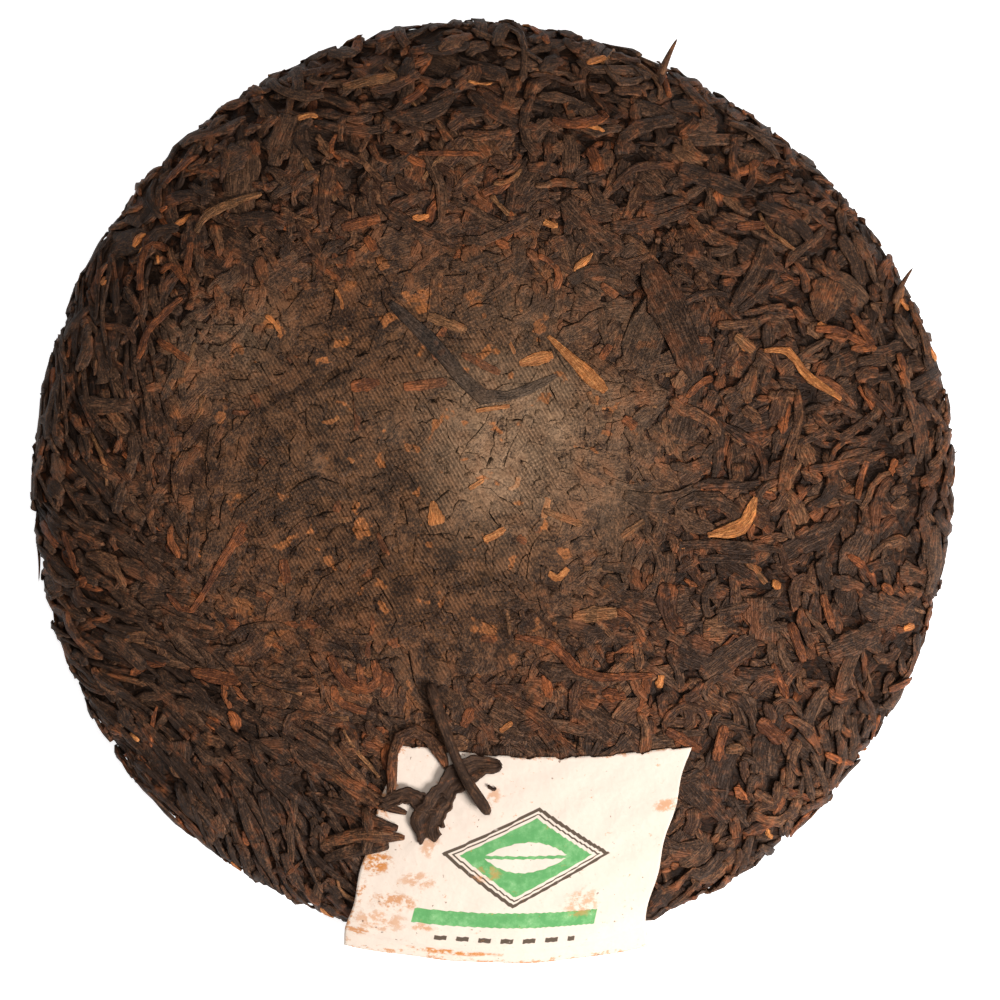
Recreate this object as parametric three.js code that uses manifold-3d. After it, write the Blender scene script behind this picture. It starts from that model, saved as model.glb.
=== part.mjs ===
// A ripe pu-erh tea cake lying face up: one round cake of pressed leaf, a paper ticket pressed into its
// face and folded over the rim, and the leaf and the stalk that lie across the ticket.
// Millimetres and degrees, +Z up, origin at the middle of the underside, the ticket towards -Y.
import * as THREE from "three";
import { mergeVertices } from "three/addons/utils/BufferGeometryUtils.js";
import Module from "manifold-3d";

const wasm = await Module();
wasm.setup();

// The pressed cake: a dome down to its widest line, the waist, and a rounded underside up to it
const CAKE_RADIUS = 97.5;
const DOME_HEIGHT = 24.4;
const WAIST_HEIGHT = 8.5;
const DOME_POWER = 3.2;
const SHOULDER_POWER = 0.55;
const FOOT_RADIUS = 82;
const UNDER_POWER = 2.2;
const UNDER_ROUNDING = 0.6;
const DIMPLE_RADIUS = 24;
const DIMPLE_DEPTH = 6;

// The cake isn't quite round or even: waves in its outline, as shares of the radius, and low swells
const OUTLINE_WAVES = [
  { count: 2, share: 0.009, phase: -145 },
  { count: 3, share: 0.006, phase: -10 },
  { count: 4, share: 0.005, phase: 70 },
  { count: 5, share: 0.003, phase: 95 },
];
const SWELL = 0.5;
const SWELL_LENGTH = 13;

// Facets of the bare cake, crowded towards the rim, where the skin turns fastest
const CORE_SIDES = 48;
const DOME_RINGS = 9;
const UNDER_RINGS = 4;
const DIMPLE_RINGS = 3;
const RIM_CROWDING = 1.9;

// Finer steps of the same section, on which every other piece is placed
const SECTION_STEPS = 120;

// Clear space left between pieces that touch
const GAP = 0.35;

// Rolled leaf that stands out of the pressed face, least in the middle and most at the rim
const FACE_STRIPS = 165;
const UNDER_STRIPS = 30;
const STRIP_LENGTH = { least: 7, most: 19 };
const STRIP_WIDTH = { least: 1.8, most: 3.6 };
const STRIP_THICKNESS = 1.9;
const STRIP_BEND = 100;
const STRIP_UNEVENNESS = 0.25;
const MIDDLE_STAND = -0.35;
const RIM_STAND = 0.25;
const NOTABLE_STAND = 0.35;
const NOTABLE_THICKNESS = 2.6;
const ROUND_THE_RIM = 9;
const SEED = 20101;

// The paper ticket, which leaves the skin a little short of the waist and hangs free below it
const TICKET_WIDTH = 60;
const TICKET_LENGTH = 45.8;
const TICKET_THICKNESS = 0.35;
const TICKET_LEFT = -19;
const TICKET_TOP = -58;
const TICKET_TOP_SAG = 2.6;
const TICKET_LEAN = -0.29;
const TICKET_RIPPLE = 0.4;
const TICKET_STUCK_SHARE = 0.72;
const TICKET_STAND_OFF = 1.2;
const TICKET_FLARE = 16;
const TICKET_COLUMNS = 12;
const TICKET_ROWS = 14;
const TICKET_STEP = 0.25;
const OVER_TICKET = 3;

// The leaf and the stalk over the ticket, each clear of what it lies on
const LEAF_THICKNESS = 0.5;
const LEAF_CREASE = 0.25;
const LEAF_STAND = GAP + TICKET_RIPPLE + TICKET_THICKNESS + GAP + LEAF_CREASE;
const STALK_WIDTH = 2.2;
const STALK_STAND = LEAF_STAND + LEAF_THICKNESS + LEAF_CREASE + GAP + STALK_WIDTH / 2;
const STALK_DIP = 1.7;

// The pieces that stand out in the face: where their middles lie in plan, which way they point, how
// long they are, how far they turn on the way and how wide they are.
const NOTABLE_LEAVES = [
  { name: "large flat leaf", at: [38, 31], heading: -68, length: 27, bend: 0, width: 7.5 },
  { name: "broad dark leaf", at: [75, -37], heading: 24, length: 12, bend: 0, width: 6 },
  { name: "fan of leaf", at: [70.5, 35.5], heading: 72, length: 10, bend: 0, width: 6 },
  { name: "wide leaf at the back", at: [47, 62], heading: -20, length: 15, bend: 0, width: 4.5 },
  { name: "slate leaf", at: [-9.5, 24], heading: -40, length: 31, bend: 12, width: 2.8 },
  { name: "long red strip", at: [18.5, -42], heading: -20, length: 31, bend: 10, width: 2.1 },
  { name: "pale stem", at: [63, 5], heading: -100, length: 22, bend: -15, width: 2.4 },
  { name: "upper of two strips", at: [49.5, -17], heading: -3, length: 21, bend: 0, width: 1.9 },
  { name: "lower of two strips", at: [49, -20.5], heading: 0, length: 12, bend: 0, width: 1.9 },
  { name: "hooked stalk", at: [-54.5, -25], heading: -116, length: 20, bend: 0, width: 1.8 },
  { name: "hook of that stalk", at: [-62, -34.5], heading: 170, length: 7, bend: -90, width: 1.8 },
  { name: "golden curved strip", at: [65, 20], heading: -38, length: 20, bend: -15, width: 2 },
  { name: "long strip to the ticket", at: [-39, -56.5], heading: -29, length: 18, bend: 0, width: 2.2 },
  { name: "golden stalk", at: [18, 21], heading: -45, length: 17, bend: 0, width: 2.8 },
  { name: "long brown strip", at: [74, 0.5], heading: 14, length: 17, bend: 10, width: 2 },
  { name: "rust wave", at: [-70, 30], heading: -125, length: 17, bend: 10, width: 1.9 },
  { name: "bent tan stalk", at: [-56, 55], heading: 28, length: 16, bend: -35, width: 2 },
  { name: "long brown leaf", at: [8, -53], heading: -35, length: 16, bend: 0, width: 2.6 },
  { name: "horseshoe", at: [40, -50.5], heading: 0, length: 16, bend: -200, width: 2 },
  { name: "curled strip", at: [72.5, 7], heading: -5, length: 15, bend: 95, width: 2 },
  { name: "brown arc", at: [31.5, 63], heading: 28, length: 15, bend: -45, width: 2 },
  { name: "red curl", at: [-27.5, -46], heading: -15, length: 15, bend: 170, width: 2.4 },
  { name: "rust hook", at: [19, 74], heading: 8, length: 14, bend: 60, width: 2.2 },
  { name: "outer curl", at: [-73.5, 44.5], heading: 78, length: 14, bend: -90, width: 2 },
  { name: "inner curl", at: [-67, 42.5], heading: -15, length: 8.5, bend: -80, width: 1.8 },
  { name: "rim strip", at: [91.5, 30], heading: -75, length: 14, bend: -15, width: 2.4 },
  { name: "dark hook", at: [-37.5, -53], heading: 0, length: 14, bend: -75, width: 2 },
  { name: "golden brown leaf", at: [51, -12.5], heading: 38, length: 13.5, bend: 50, width: 2.8 },
  { name: "rust strip", at: [74, 28.5], heading: -14, length: 13, bend: -20, width: 2.2 },
  { name: "tan leaf at the back", at: [-25.5, 82.5], heading: 10, length: 12, bend: -10, width: 2.6 },
  { name: "rust wedge", at: [-57, -44], heading: -11, length: 11, bend: 0, width: 2.8 },
  { name: "tan oval leaf", at: [21.5, -31.5], heading: 6, length: 10, bend: 0, width: 3.2 },
  { name: "front curl", at: [57.5, -68], heading: 15, length: 9, bend: 110, width: 2.4 },
  { name: "rust strip near the rim", at: [63.5, -37], heading: -70, length: 9, bend: 0, width: 2.4 },
  { name: "red strip by the horseshoe", at: [39.5, -57], heading: -30, length: 8.5, bend: 0, width: 2.2 },
  { name: "short red strip", at: [47, -57.5], heading: -105, length: 8, bend: 0, width: 2.4 },
  { name: "folded leaf", at: [57.5, -55], heading: -39, length: 7.5, bend: 0, width: 3.2 },
  { name: "rust block", at: [22, 65.5], heading: -68, length: 6.5, bend: 0, width: 3 },
];

// Stalk ends that stick out past the rim: where the tip is, and how the stalk leans from straight out.
const RIM_SPIKES = [
  { bearing: 67, reach: 104, height: 13, length: 12, width: 2.2, lean: 0 },
  { bearing: 26, reach: 101.5, height: 15, length: 9, width: 1.9, lean: 35 },
];

// A turn too slight to see, so that a straight piece is a bend too
const NO_BEND = 0.005;

const radians = THREE.MathUtils.degToRad;
const lerp = THREE.MathUtils.lerp;

// Seeded draw from 0 to 1, so that each build scatters the same leaf.
function makeDraw(seed) {
  let state = seed;
  return () => {
    state = (state * 1664525 + 1013904223) % 4294967296;
    return state / 4294967296;
  };
}

function domeHeight(radius) {
  const share = Math.min(radius / CAKE_RADIUS, 1);
  return WAIST_HEIGHT + (DOME_HEIGHT - WAIST_HEIGHT) * (1 - share ** DOME_POWER) ** SHOULDER_POWER;
}

function undersideHeight(radius) {
  if (radius < DIMPLE_RADIUS) {
    return DIMPLE_DEPTH * Math.cos((Math.PI / 2) * (radius / DIMPLE_RADIUS)) ** 2;
  }
  const share = Math.max(0, (radius - FOOT_RADIUS) / (CAKE_RADIUS - FOOT_RADIUS));
  return WAIST_HEIGHT * (1 - (1 - share ** UNDER_POWER) ** UNDER_ROUNDING);
}

// Half section of the cake from the middle of the dome, round the rim, to the middle of the underside.
function halfSection(domeSteps, underSteps, dimpleSteps) {
  const points = [];
  for (let i = 0; i <= domeSteps; i++) {
    const radius = CAKE_RADIUS * (1 - (1 - i / domeSteps) ** RIM_CROWDING);
    points.push({ radius, height: domeHeight(radius) });
  }
  for (let i = 1; i <= underSteps; i++) {
    const radius = CAKE_RADIUS - (CAKE_RADIUS - FOOT_RADIUS) * (i / underSteps) ** RIM_CROWDING;
    points.push({ radius, height: undersideHeight(radius) });
  }
  for (let i = 0; i <= dimpleSteps; i++) {
    const radius = DIMPLE_RADIUS * (1 - i / dimpleSteps);
    points.push({ radius, height: undersideHeight(radius) });
  }
  return points;
}

// The same section as a chart of the skin: how far along it each point lies, which way is outwards
// there, and how far along the waist is. The face's chart has hand 1, and the underside's -1.
function chartOf(section, hand) {
  let along = 0;
  const points = section.map(({ radius, height }, i) => {
    const before = section[Math.max(i - 1, 0)];
    const after = section[Math.min(i + 1, section.length - 1)];
    const run = new THREE.Vector2(after.radius - before.radius, after.height - before.height).normalize();
    along += Math.hypot(radius - before.radius, height - before.height);
    return { along, radius, height, outwards: new THREE.Vector2(-run.y, run.x).multiplyScalar(hand) };
  });
  const waist = points.find((point) => point.radius === CAKE_RADIUS).along;
  return { points, hand, waist };
}

const fineSection = halfSection(SECTION_STEPS, SECTION_STEPS / 2, SECTION_STEPS / 4);
const FACE = chartOf(fineSection, 1);
const UNDER = chartOf([...fineSection].reverse(), -1);

function sectionAt(chart, along) {
  const points = chart.points;
  const next = Math.max(1, points.findIndex((point) => point.along >= along));
  const [a, b] = [points[next - 1], points[next]];
  const share = Math.min(1, (along - a.along) / (b.along - a.along));
  return {
    radius: lerp(a.radius, b.radius, share),
    height: lerp(a.height, b.height, share),
    outwards: a.outwards.clone().lerp(b.outwards, share).normalize(),
  };
}

// How far along the face's skin a plan radius lies.
function alongFace(radius) {
  const within = Math.min(radius, CAKE_RADIUS);
  const next = Math.max(1, FACE.points.findIndex((point) => point.radius >= within));
  const [a, b] = [FACE.points[next - 1], FACE.points[next]];
  return lerp(a.along, b.along, (within - a.radius) / (b.radius - a.radius));
}

// Low swells of the pressed face, as no press leaves it quite even.
function swellAt(x, y) {
  const across = Math.sin(x / SWELL_LENGTH + 1.3) * Math.cos(y / (1.15 * SWELL_LENGTH) + 0.4);
  return SWELL * (across + 0.5 * Math.sin((x - y) / (0.7 * SWELL_LENGTH)));
}

// The cake's reach over a true circle's: all of the waves at the rim, and none in the middle.
function outlineGrowth(radius, bearing) {
  let wave = 0;
  for (const { count, share, phase } of OUTLINE_WAVES) {
    wave += share * Math.cos(count * bearing - radians(phase));
  }
  return 1 + wave * (radius / CAKE_RADIUS) ** 2;
}

// A point at a height over the skin. The chart is the skin spread flat, so that (x, y) there is a
// distance and a bearing from the middle.
function skinPoint(chart, x, y, lift) {
  const { radius, height, outwards } = sectionAt(chart, Math.hypot(x, y));
  const bearing = Math.atan2(y, x * chart.hand);
  const swell = Math.max(0, outwards.y) * swellAt(radius * Math.cos(bearing), radius * Math.sin(bearing));
  const reach = radius * outlineGrowth(radius, bearing) + outwards.x * (lift + swell);
  return new THREE.Vector3(
    reach * Math.cos(bearing),
    reach * Math.sin(bearing),
    height + outwards.y * (lift + swell),
  );
}

// A plan position on the face as a place on the spread skin.
function spread([x, y]) {
  const radius = Math.hypot(x, y);
  const stretch = radius > 0 ? alongFace(radius) / radius : 1;
  return new THREE.Vector3(x * stretch, y * stretch, 0);
}

// A closed solid from a geometry, its shared corners merged and its empty triangles dropped.
function solidOf(geometry) {
  const bare = geometry.clone();
  bare.deleteAttribute("normal");
  bare.deleteAttribute("uv");
  const merged = mergeVertices(bare, 1e-4);
  const corners = merged.index.array;
  const triVerts = [];
  for (let i = 0; i < corners.length; i += 3) {
    const [a, b, c] = corners.subarray(i, i + 3);
    if (a !== b && b !== c && c !== a) triVerts.push(a, b, c);
  }
  return new wasm.Manifold(
    new wasm.Mesh({
      numProp: 3,
      vertProperties: merged.attributes.position.array,
      triVerts: new Uint32Array(triVerts),
    }),
  );
}

function geometryOf(solid) {
  const mesh = solid.getMesh();
  const geometry = new THREE.BufferGeometry();
  geometry.setAttribute("position", new THREE.BufferAttribute(new Float32Array(mesh.vertProperties), 3));
  geometry.setIndex(new THREE.BufferAttribute(new Uint32Array(mesh.triVerts), 1));
  const flat = geometry.toNonIndexed();
  flat.computeVertexNormals();
  return flat;
}

function join(solids) {
  return solids.reduce((whole, solid) => whole.add(solid));
}

// Moves each corner of a geometry to where a function of its place says.
function reshape(geometry, place) {
  const positions = geometry.attributes.position;
  const from = new THREE.Vector3();
  for (let i = 0; i < positions.count; i++) {
    from.fromBufferAttribute(positions, i);
    positions.setXYZ(i, ...place(from));
  }
  return geometry;
}

// The bare cake: its half section turned round, then waved and swollen like the skin chart.
function cakeCore() {
  const section = halfSection(DOME_RINGS, UNDER_RINGS, DIMPLE_RINGS);
  const profile = section.map(({ radius, height }) => new THREE.Vector2(radius, height));
  profile[0].x = 0;
  profile[profile.length - 1].x = 0;
  const turned = new THREE.LatheGeometry(profile.reverse(), CORE_SIDES).rotateX(Math.PI / 2);
  return reshape(turned, ({ x, y, z }) => {
    const growth = outlineGrowth(Math.hypot(x, y), Math.atan2(y, x));
    const topShare = Math.max(0, (z - WAIST_HEIGHT) / (DOME_HEIGHT - WAIST_HEIGHT));
    return [x * growth, y * growth, z + topShare * swellAt(x, y)];
  });
}

// A piece that follows a path over the skin: a ball drawn out along it, a ridge on top, with its width,
// thickness and lift over the skin given for each share of the way.
function drawnAlong(chart, path, sides, stations, shapeAt) {
  const curve = new THREE.CatmullRomCurve3(path, false, "centripetal");
  const ball = new THREE.SphereGeometry(1, sides, stations, Math.PI / 2);
  return reshape(ball, ({ x, y, z }) => {
    const station = THREE.MathUtils.clamp((1 - y) / 2, 0, 1);
    const ringRadius = Math.max(Math.hypot(x, z), 1e-6);
    const { width, thickness, lift } = shapeAt(station);
    const middle = curve.getPointAt(station);
    const heading = curve.getTangentAt(station);
    const side = ((x / ringRadius) * width) / 2;
    const rise = ((z / ringRadius) * thickness) / 2;
    return skinPoint(chart, middle.x - heading.y * side, middle.y + heading.x * side, lift + rise);
  });
}

// A rolled leaf: three-sided with a ridge along its top, full in the middle, with blunt ends.
function rolledLeaf(chart, path, width, thickness, stand, stations) {
  return drawnAlong(chart, path, 3, stations, (station) => {
    const fullness = (1 - Math.abs(2 * station - 1) ** 4) ** 0.5;
    return { width: width * fullness, thickness: thickness * fullness, lift: stand };
  });
}

// A round bend over the spread skin, about its middle point, with its heading there.
function arcPath(middle, heading, length, bend) {
  const turn = radians(bend || NO_BEND);
  const [ahead, left] = [heading, heading + 90].map(radians);
  return [-0.5, -0.25, 0, 0.25, 0.5].map((share) => {
    const forward = (length / turn) * Math.sin(turn * share);
    const sideways = (length / turn) * (1 - Math.cos(turn * share));
    return new THREE.Vector3(
      middle.x + forward * Math.cos(ahead) + sideways * Math.cos(left),
      middle.y + forward * Math.sin(ahead) + sideways * Math.sin(left),
      0,
    );
  });
}

const standAt = (rimShare) => lerp(MIDDLE_STAND, RIM_STAND, rimShare ** 2);

// Strips spread evenly by a sunflower spiral. Near the rim they lie along it, and in the middle any way.
function scatteredStrips(chart, count, from, to, seed) {
  const draw = makeDraw(seed);
  const goldenTurn = 180 * (3 - Math.sqrt(5));
  const strips = [];
  for (let i = 0; i < count; i++) {
    const along = Math.sqrt(lerp(from ** 2, to ** 2, (i + 0.5) / count));
    const bearing = i * goldenTurn + 17 * draw();
    const rimShare = Math.min(1, along / chart.waist);
    const heading = bearing + 90 + lerp(-90, 90, draw()) * (1 - 0.6 * rimShare ** 3);
    const length = lerp(STRIP_LENGTH.least, STRIP_LENGTH.most, draw());
    const width = lerp(STRIP_WIDTH.least, STRIP_WIDTH.most, draw());
    const bend = lerp(-STRIP_BEND / 2, STRIP_BEND / 2, draw());
    const stand = standAt(rimShare) + STRIP_UNEVENNESS * draw();
    const middle = new THREE.Vector3(Math.cos(radians(bearing)), Math.sin(radians(bearing)), 0);
    middle.multiplyScalar(along);
    const path = arcPath(middle, heading, length, bend);
    strips.push(solidOf(rolledLeaf(chart, path, width, STRIP_THICKNESS, stand, 3)));
  }
  return strips;
}

function notableLeaves() {
  return NOTABLE_LEAVES.map(({ at, heading, length, bend, width }) => {
    const path = arcPath(spread(at), heading, length, bend);
    const thickness = Math.min(width, NOTABLE_THICKNESS);
    const stand = standAt(Math.hypot(...at) / CAKE_RADIUS) + NOTABLE_STAND;
    const stations = Math.abs(bend) > 40 ? 5 : 3;
    return solidOf(rolledLeaf(FACE, path, width, thickness, stand, stations));
  });
}

function rimSpikes() {
  return RIM_SPIKES.map(({ bearing, reach, height, length, width, lean }) => {
    const stalk = new THREE.CylinderGeometry(width * 0.15, width / 2, length, 5, 1);
    stalk.translate(0, -length / 2, 0).rotateZ(radians(bearing - 90 + lean));
    stalk.translate(reach * Math.cos(radians(bearing)), reach * Math.sin(radians(bearing)), height);
    return solidOf(stalk);
  });
}

// Where the ticket's paper lies. Each column runs down the face in the ticket's leaning direction, and
// past the waist it hangs free. Share across is 0 at the left, share down 0 at the top edge.
function ticketPoint(across, down, lift) {
  const start = new THREE.Vector2(
    TICKET_LEFT + TICKET_WIDTH * across,
    TICKET_TOP - TICKET_TOP_SAG * Math.sin(Math.PI * across),
  );
  const run = new THREE.Vector2(TICKET_LEAN, -1).normalize();
  const planAt = (radius) => {
    const back = start.dot(run);
    const distance = Math.sqrt(Math.max(0, back ** 2 - start.lengthSq() + radius ** 2)) - back;
    return start.clone().addScaledVector(run, distance);
  };
  let left = down * TICKET_LENGTH;
  let along = alongFace(start.length());
  let here = sectionAt(FACE, along);
  while (left > 0 && along < FACE.waist) {
    along = Math.min(along + TICKET_STEP, FACE.waist);
    const next = sectionAt(FACE, along);
    left -= Math.hypot(planAt(next.radius).distanceTo(planAt(here.radius)), next.height - here.height);
    here = next;
  }
  const outwards = planAt(here.radius).normalize();
  const free = THREE.MathUtils.smoothstep(along, TICKET_STUCK_SHARE * FACE.waist, FACE.waist);
  const place = skinPoint(FACE, along * outwards.x, along * outwards.y, lift + TICKET_STAND_OFF * free);
  const hang = Math.max(0, left);
  const aside = hang * Math.sin(radians(TICKET_FLARE));
  return place.add(
    new THREE.Vector3(outwards.x * aside, outwards.y * aside, -hang * Math.cos(radians(TICKET_FLARE))),
  );
}

// A thin sheet between two surfaces, both split into triangles alike, and closed round its edge.
function sheetSolid(columns, rows, lowPoint, highPoint) {
  const grid = new THREE.PlaneGeometry(1, 1, columns, rows);
  const faces = grid.index.array;
  const count = grid.attributes.position.count;
  const positions = [];
  for (const point of [highPoint, lowPoint]) {
    for (let i = 0; i < count; i++) {
      const across = grid.attributes.position.getX(i) + 0.5;
      const down = 0.5 - grid.attributes.position.getY(i);
      positions.push(...point(across, down));
    }
  }
  const indices = [...faces];
  for (let i = 0; i < faces.length; i += 3) {
    indices.push(faces[i] + count, faces[i + 2] + count, faces[i + 1] + count);
  }
  const width = columns + 1;
  const edge = [];
  for (let i = 0; i < columns; i++) edge.push(i);
  for (let j = 0; j < rows; j++) edge.push(j * width + columns);
  for (let i = columns; i > 0; i--) edge.push(rows * width + i);
  for (let j = rows; j > 0; j--) edge.push(j * width);
  edge.forEach((a, i) => {
    const b = edge[(i + 1) % edge.length];
    indices.push(a, b, b + count, a, b + count, a + count);
  });
  const sheet = new THREE.BufferGeometry();
  sheet.setAttribute("position", new THREE.BufferAttribute(new Float32Array(positions), 3));
  sheet.setIndex(indices);
  return sheet;
}

// The ticket, or the room round it: grown at its edges, below it and above it.
function ticketSheet(edgeRoom, roomBelow, roomAbove) {
  const ripple = (across, down) =>
    TICKET_RIPPLE * (0.5 + 0.3 * Math.sin(9 * across + 2) * down + 0.2 * Math.cos(11 * down + 3 * across));
  const grown = (share, size) => share + ((2 * share - 1) * edgeRoom) / size;
  const place = (lift) => (across, down) =>
    ticketPoint(
      grown(across, TICKET_WIDTH),
      Math.max(0, grown(down, TICKET_LENGTH)),
      GAP + ripple(across, down) + lift,
    );
  const [back, front] = [place(-roomBelow), place(TICKET_THICKNESS + roomAbove)];
  return solidOf(sheetSolid(TICKET_COLUMNS, TICKET_ROWS, back, front));
}

// A flat leaf laid over the ticket: a rippled ribbon, with its width given at even stations.
function flatLeaf(path, widths, room, stations) {
  const curve = new THREE.CatmullRomCurve3(path.map(spread), false, "centripetal");
  const widthAt = (share) => {
    const place = share * (widths.length - 1);
    const before = Math.min(Math.floor(place), widths.length - 2);
    return lerp(widths[before], widths[before + 1], place - before) + 2 * room;
  };
  const surface = (lift) => (across, down) => {
    const middle = curve.getPointAt(down);
    const heading = curve.getTangentAt(down);
    const side = (0.5 - across) * widthAt(down);
    const crease = LEAF_CREASE * Math.sin(7 * down + 4 * across);
    return skinPoint(FACE, middle.x + heading.y * side, middle.y - heading.x * side, lift + crease);
  };
  const [back, front] = [surface(LEAF_STAND - room), surface(LEAF_STAND + LEAF_THICKNESS + room)];
  return solidOf(sheetSolid(3, stations, back, front));
}

// One leaf of two blades from the end of the stalk, or the room round it.
function leafOverTicket(room) {
  const blade = [[2, -62], [-5, -63.5], [-9, -68], [-13, -76]];
  const arm = [[-8, -69], [-12, -70], [-18, -68.5], [-21, -70]];
  return join([
    flatLeaf(blade, [1.8, 4.6, 3.8, 5.2, 7, 2.4], room, 10),
    flatLeaf(arm, [3.4, 3, 2.2, 1.2], room, 6),
  ]);
}

// The stalk, or the room round it. Its upper end dips to the tea above the ticket.
function stalkOverTicket(room) {
  const path = [[-12.5, -45.5], [-8, -56], [-5, -64], [-1, -72]].map(spread);
  const stalk = drawnAlong(FACE, path, 6, 10, (station) => {
    const width = STALK_WIDTH * (1 - Math.abs(2 * station - 1) ** 6) ** 0.4 + 2 * room;
    return { width, thickness: width, lift: STALK_STAND - STALK_DIP * (1 - station) ** 2 };
  });
  return solidOf(stalk);
}

// The one largest body of a solid, so that no loose scrap stays.
function largestBody(solid) {
  return solid.decompose().reduce((best, body) => (body.volume() > best.volume() ? body : best));
}

// The cake with its leaves fused on, all cut off at the table and clear of the ticket and what lies on it.
function cakeSolid() {
  const strips = join([
    ...notableLeaves(),
    ...rimSpikes(),
    ...scatteredStrips(FACE, FACE_STRIPS, 0, FACE.waist + ROUND_THE_RIM, SEED),
    ...scatteredStrips(UNDER, UNDER_STRIPS, FOOT_RADIUS, UNDER.waist - ROUND_THE_RIM, SEED + 1),
  ]);
  const room = join([ticketSheet(GAP, 2 * GAP, OVER_TICKET), leafOverTicket(GAP), stalkOverTicket(GAP)]);
  const table = new THREE.BoxGeometry(3 * CAKE_RADIUS, 3 * CAKE_RADIUS, 60).translate(0, 0, -30);
  return largestBody(solidOf(cakeCore()).add(strips.subtract(room)).subtract(solidOf(table)));
}

function piece(name, solid, color, roughness) {
  const material = new THREE.MeshStandardMaterial({ color, roughness, metalness: 0 });
  const mesh = new THREE.Mesh(geometryOf(solid), material);
  mesh.name = name;
  return mesh;
}

const teaCake = new THREE.Group();
teaCake.add(piece("tea_cake", cakeSolid(), 0x33241a, 0.8));
teaCake.add(piece("paper_ticket", ticketSheet(0, 0, 0), 0xf3e6d6, 0.9));
teaCake.add(piece("leaf_over_ticket", leafOverTicket(0), 0x35271d, 0.8));
teaCake.add(piece("stalk_over_ticket", stalkOverTicket(0), 0x3a291e, 0.8));

export default teaCake;
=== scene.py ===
import math
from dataclasses import dataclass

import bmesh
import bpy
import numpy as np
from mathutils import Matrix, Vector


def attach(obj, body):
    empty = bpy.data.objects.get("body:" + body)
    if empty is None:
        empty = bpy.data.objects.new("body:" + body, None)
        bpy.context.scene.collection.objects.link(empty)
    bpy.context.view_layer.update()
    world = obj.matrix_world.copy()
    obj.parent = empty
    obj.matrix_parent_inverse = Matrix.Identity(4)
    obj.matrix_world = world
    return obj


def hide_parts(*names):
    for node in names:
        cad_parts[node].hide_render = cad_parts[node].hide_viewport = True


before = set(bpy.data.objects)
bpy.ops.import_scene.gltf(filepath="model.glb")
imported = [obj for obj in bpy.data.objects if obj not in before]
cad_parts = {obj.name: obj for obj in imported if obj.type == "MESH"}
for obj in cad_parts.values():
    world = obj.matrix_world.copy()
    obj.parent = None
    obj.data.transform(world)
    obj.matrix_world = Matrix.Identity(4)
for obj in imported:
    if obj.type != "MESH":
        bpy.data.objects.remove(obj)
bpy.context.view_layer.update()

MM = 0.001
SEED = 4520

# The pressed cake: a dome down to its widest line, the waist, and a rounded underside up to it
CAKE_RADIUS = 97.5
DOME_HEIGHT = 24.4
WAIST_HEIGHT = 8.5
DOME_POWER = 3.2
SHOULDER_POWER = 0.55
FOOT_RADIUS = 82
UNDER_POWER = 2.2
UNDER_ROUNDING = 0.6
DIMPLE_RADIUS = 24
DIMPLE_DEPTH = 6
RIM_CROWDING = 1.9

# How far left of the middle the flattest part of the face lies
FLUSH_ASIDE = 17
SECTION_STEPS = 120

# Waves in its outline, as a count, a share of the radius and a phase in degrees, and low swells
OUTLINE_WAVES = [(2, 0.009, -145), (3, 0.006, -10), (4, 0.005, 70), (5, 0.003, 95)]
SWELL = 0.5
SWELL_LENGTH = 13

# The ticket, as in the solids
TICKET_WIDTH = 60
TICKET_LENGTH = 45.8
TICKET_LEFT = -19
TICKET_TOP = -58
TICKET_TOP_SAG = 2.6
TICKET_LEAN = -0.29
TICKET_RIPPLE = 0.4
TICKET_STUCK_SHARE = 0.72
TICKET_STAND_OFF = 1.2
TICKET_FLARE = 36
TICKET_STEP = 0.25
TICKET_SOLID = 0.35
GAP = 0.35
PAPER = 0.12

# The leaf and the stalk over the ticket, and stalk ends that stick out past the rim, each with the
# bearing, reach and height of its tip, its length and width, and how it leans from straight out
LEAF_BLADE = [(2.2, -62.4), (-2.4, -62.6), (-6.2, -64.4), (-9.2, -67.6), (-12.8, -73.4), (-12.2, -77)]
LEAF_BLADE_WIDTHS = [3, 4, 5.6, 4.2, 5.4, 6.6, 4.6]
LEAF_ARM = [(-9, -69), (-13, -70), (-17, -68.2), (-22.4, -70)]
LEAF_ARM_WIDTHS = [3.4, 3.2, 2.6, 2.4]
LEAF_THICKNESS = 0.5
LEAF_WALL = 0.4
LEAF_CREASE = 0.25
LEAF_STAND = GAP + TICKET_RIPPLE + TICKET_SOLID + GAP + LEAF_CREASE
STALK_WIDTH = 2.4
STALK_STAND = LEAF_STAND + LEAF_THICKNESS + LEAF_CREASE + GAP + STALK_WIDTH / 2
STALK_DIP = 2.75
STALK_LINE = [(-12.5, -45.5), (-10.8, -51.5), (-8, -58), (-4.4, -65.5), (-0.3, -72)]
RIM_STALKS = [
    (67, 102.6, 12.5, 12, 1.9, 0),
    (26, 99.6, 14.5, 9, 1.5, 35),
    (3, 99.2, 9, 8, 0.9, 30),
    (193.4, 97.8, 9, 10, 0.7, 80),
]


def smooth_step(value, low, high):
    share = np.clip((value - low) / (high - low), 0, 1)
    return share * share * (3 - 2 * share)


def blend(a, b, share):
    return a + (b - a) * share


def dome_height(radius):
    share = np.minimum(radius / CAKE_RADIUS, 1)
    return WAIST_HEIGHT + (DOME_HEIGHT - WAIST_HEIGHT) * (1 - share**DOME_POWER) ** SHOULDER_POWER


def underside_height(radius):
    dimple = DIMPLE_DEPTH * np.cos(np.pi / 2 * np.minimum(radius / DIMPLE_RADIUS, 1)) ** 2
    share = np.clip((radius - FOOT_RADIUS) / (CAKE_RADIUS - FOOT_RADIUS), 0, 1)
    rounding = WAIST_HEIGHT * (1 - (1 - share**UNDER_POWER) ** UNDER_ROUNDING)
    return np.where(radius < DIMPLE_RADIUS, dimple, rounding)


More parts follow.
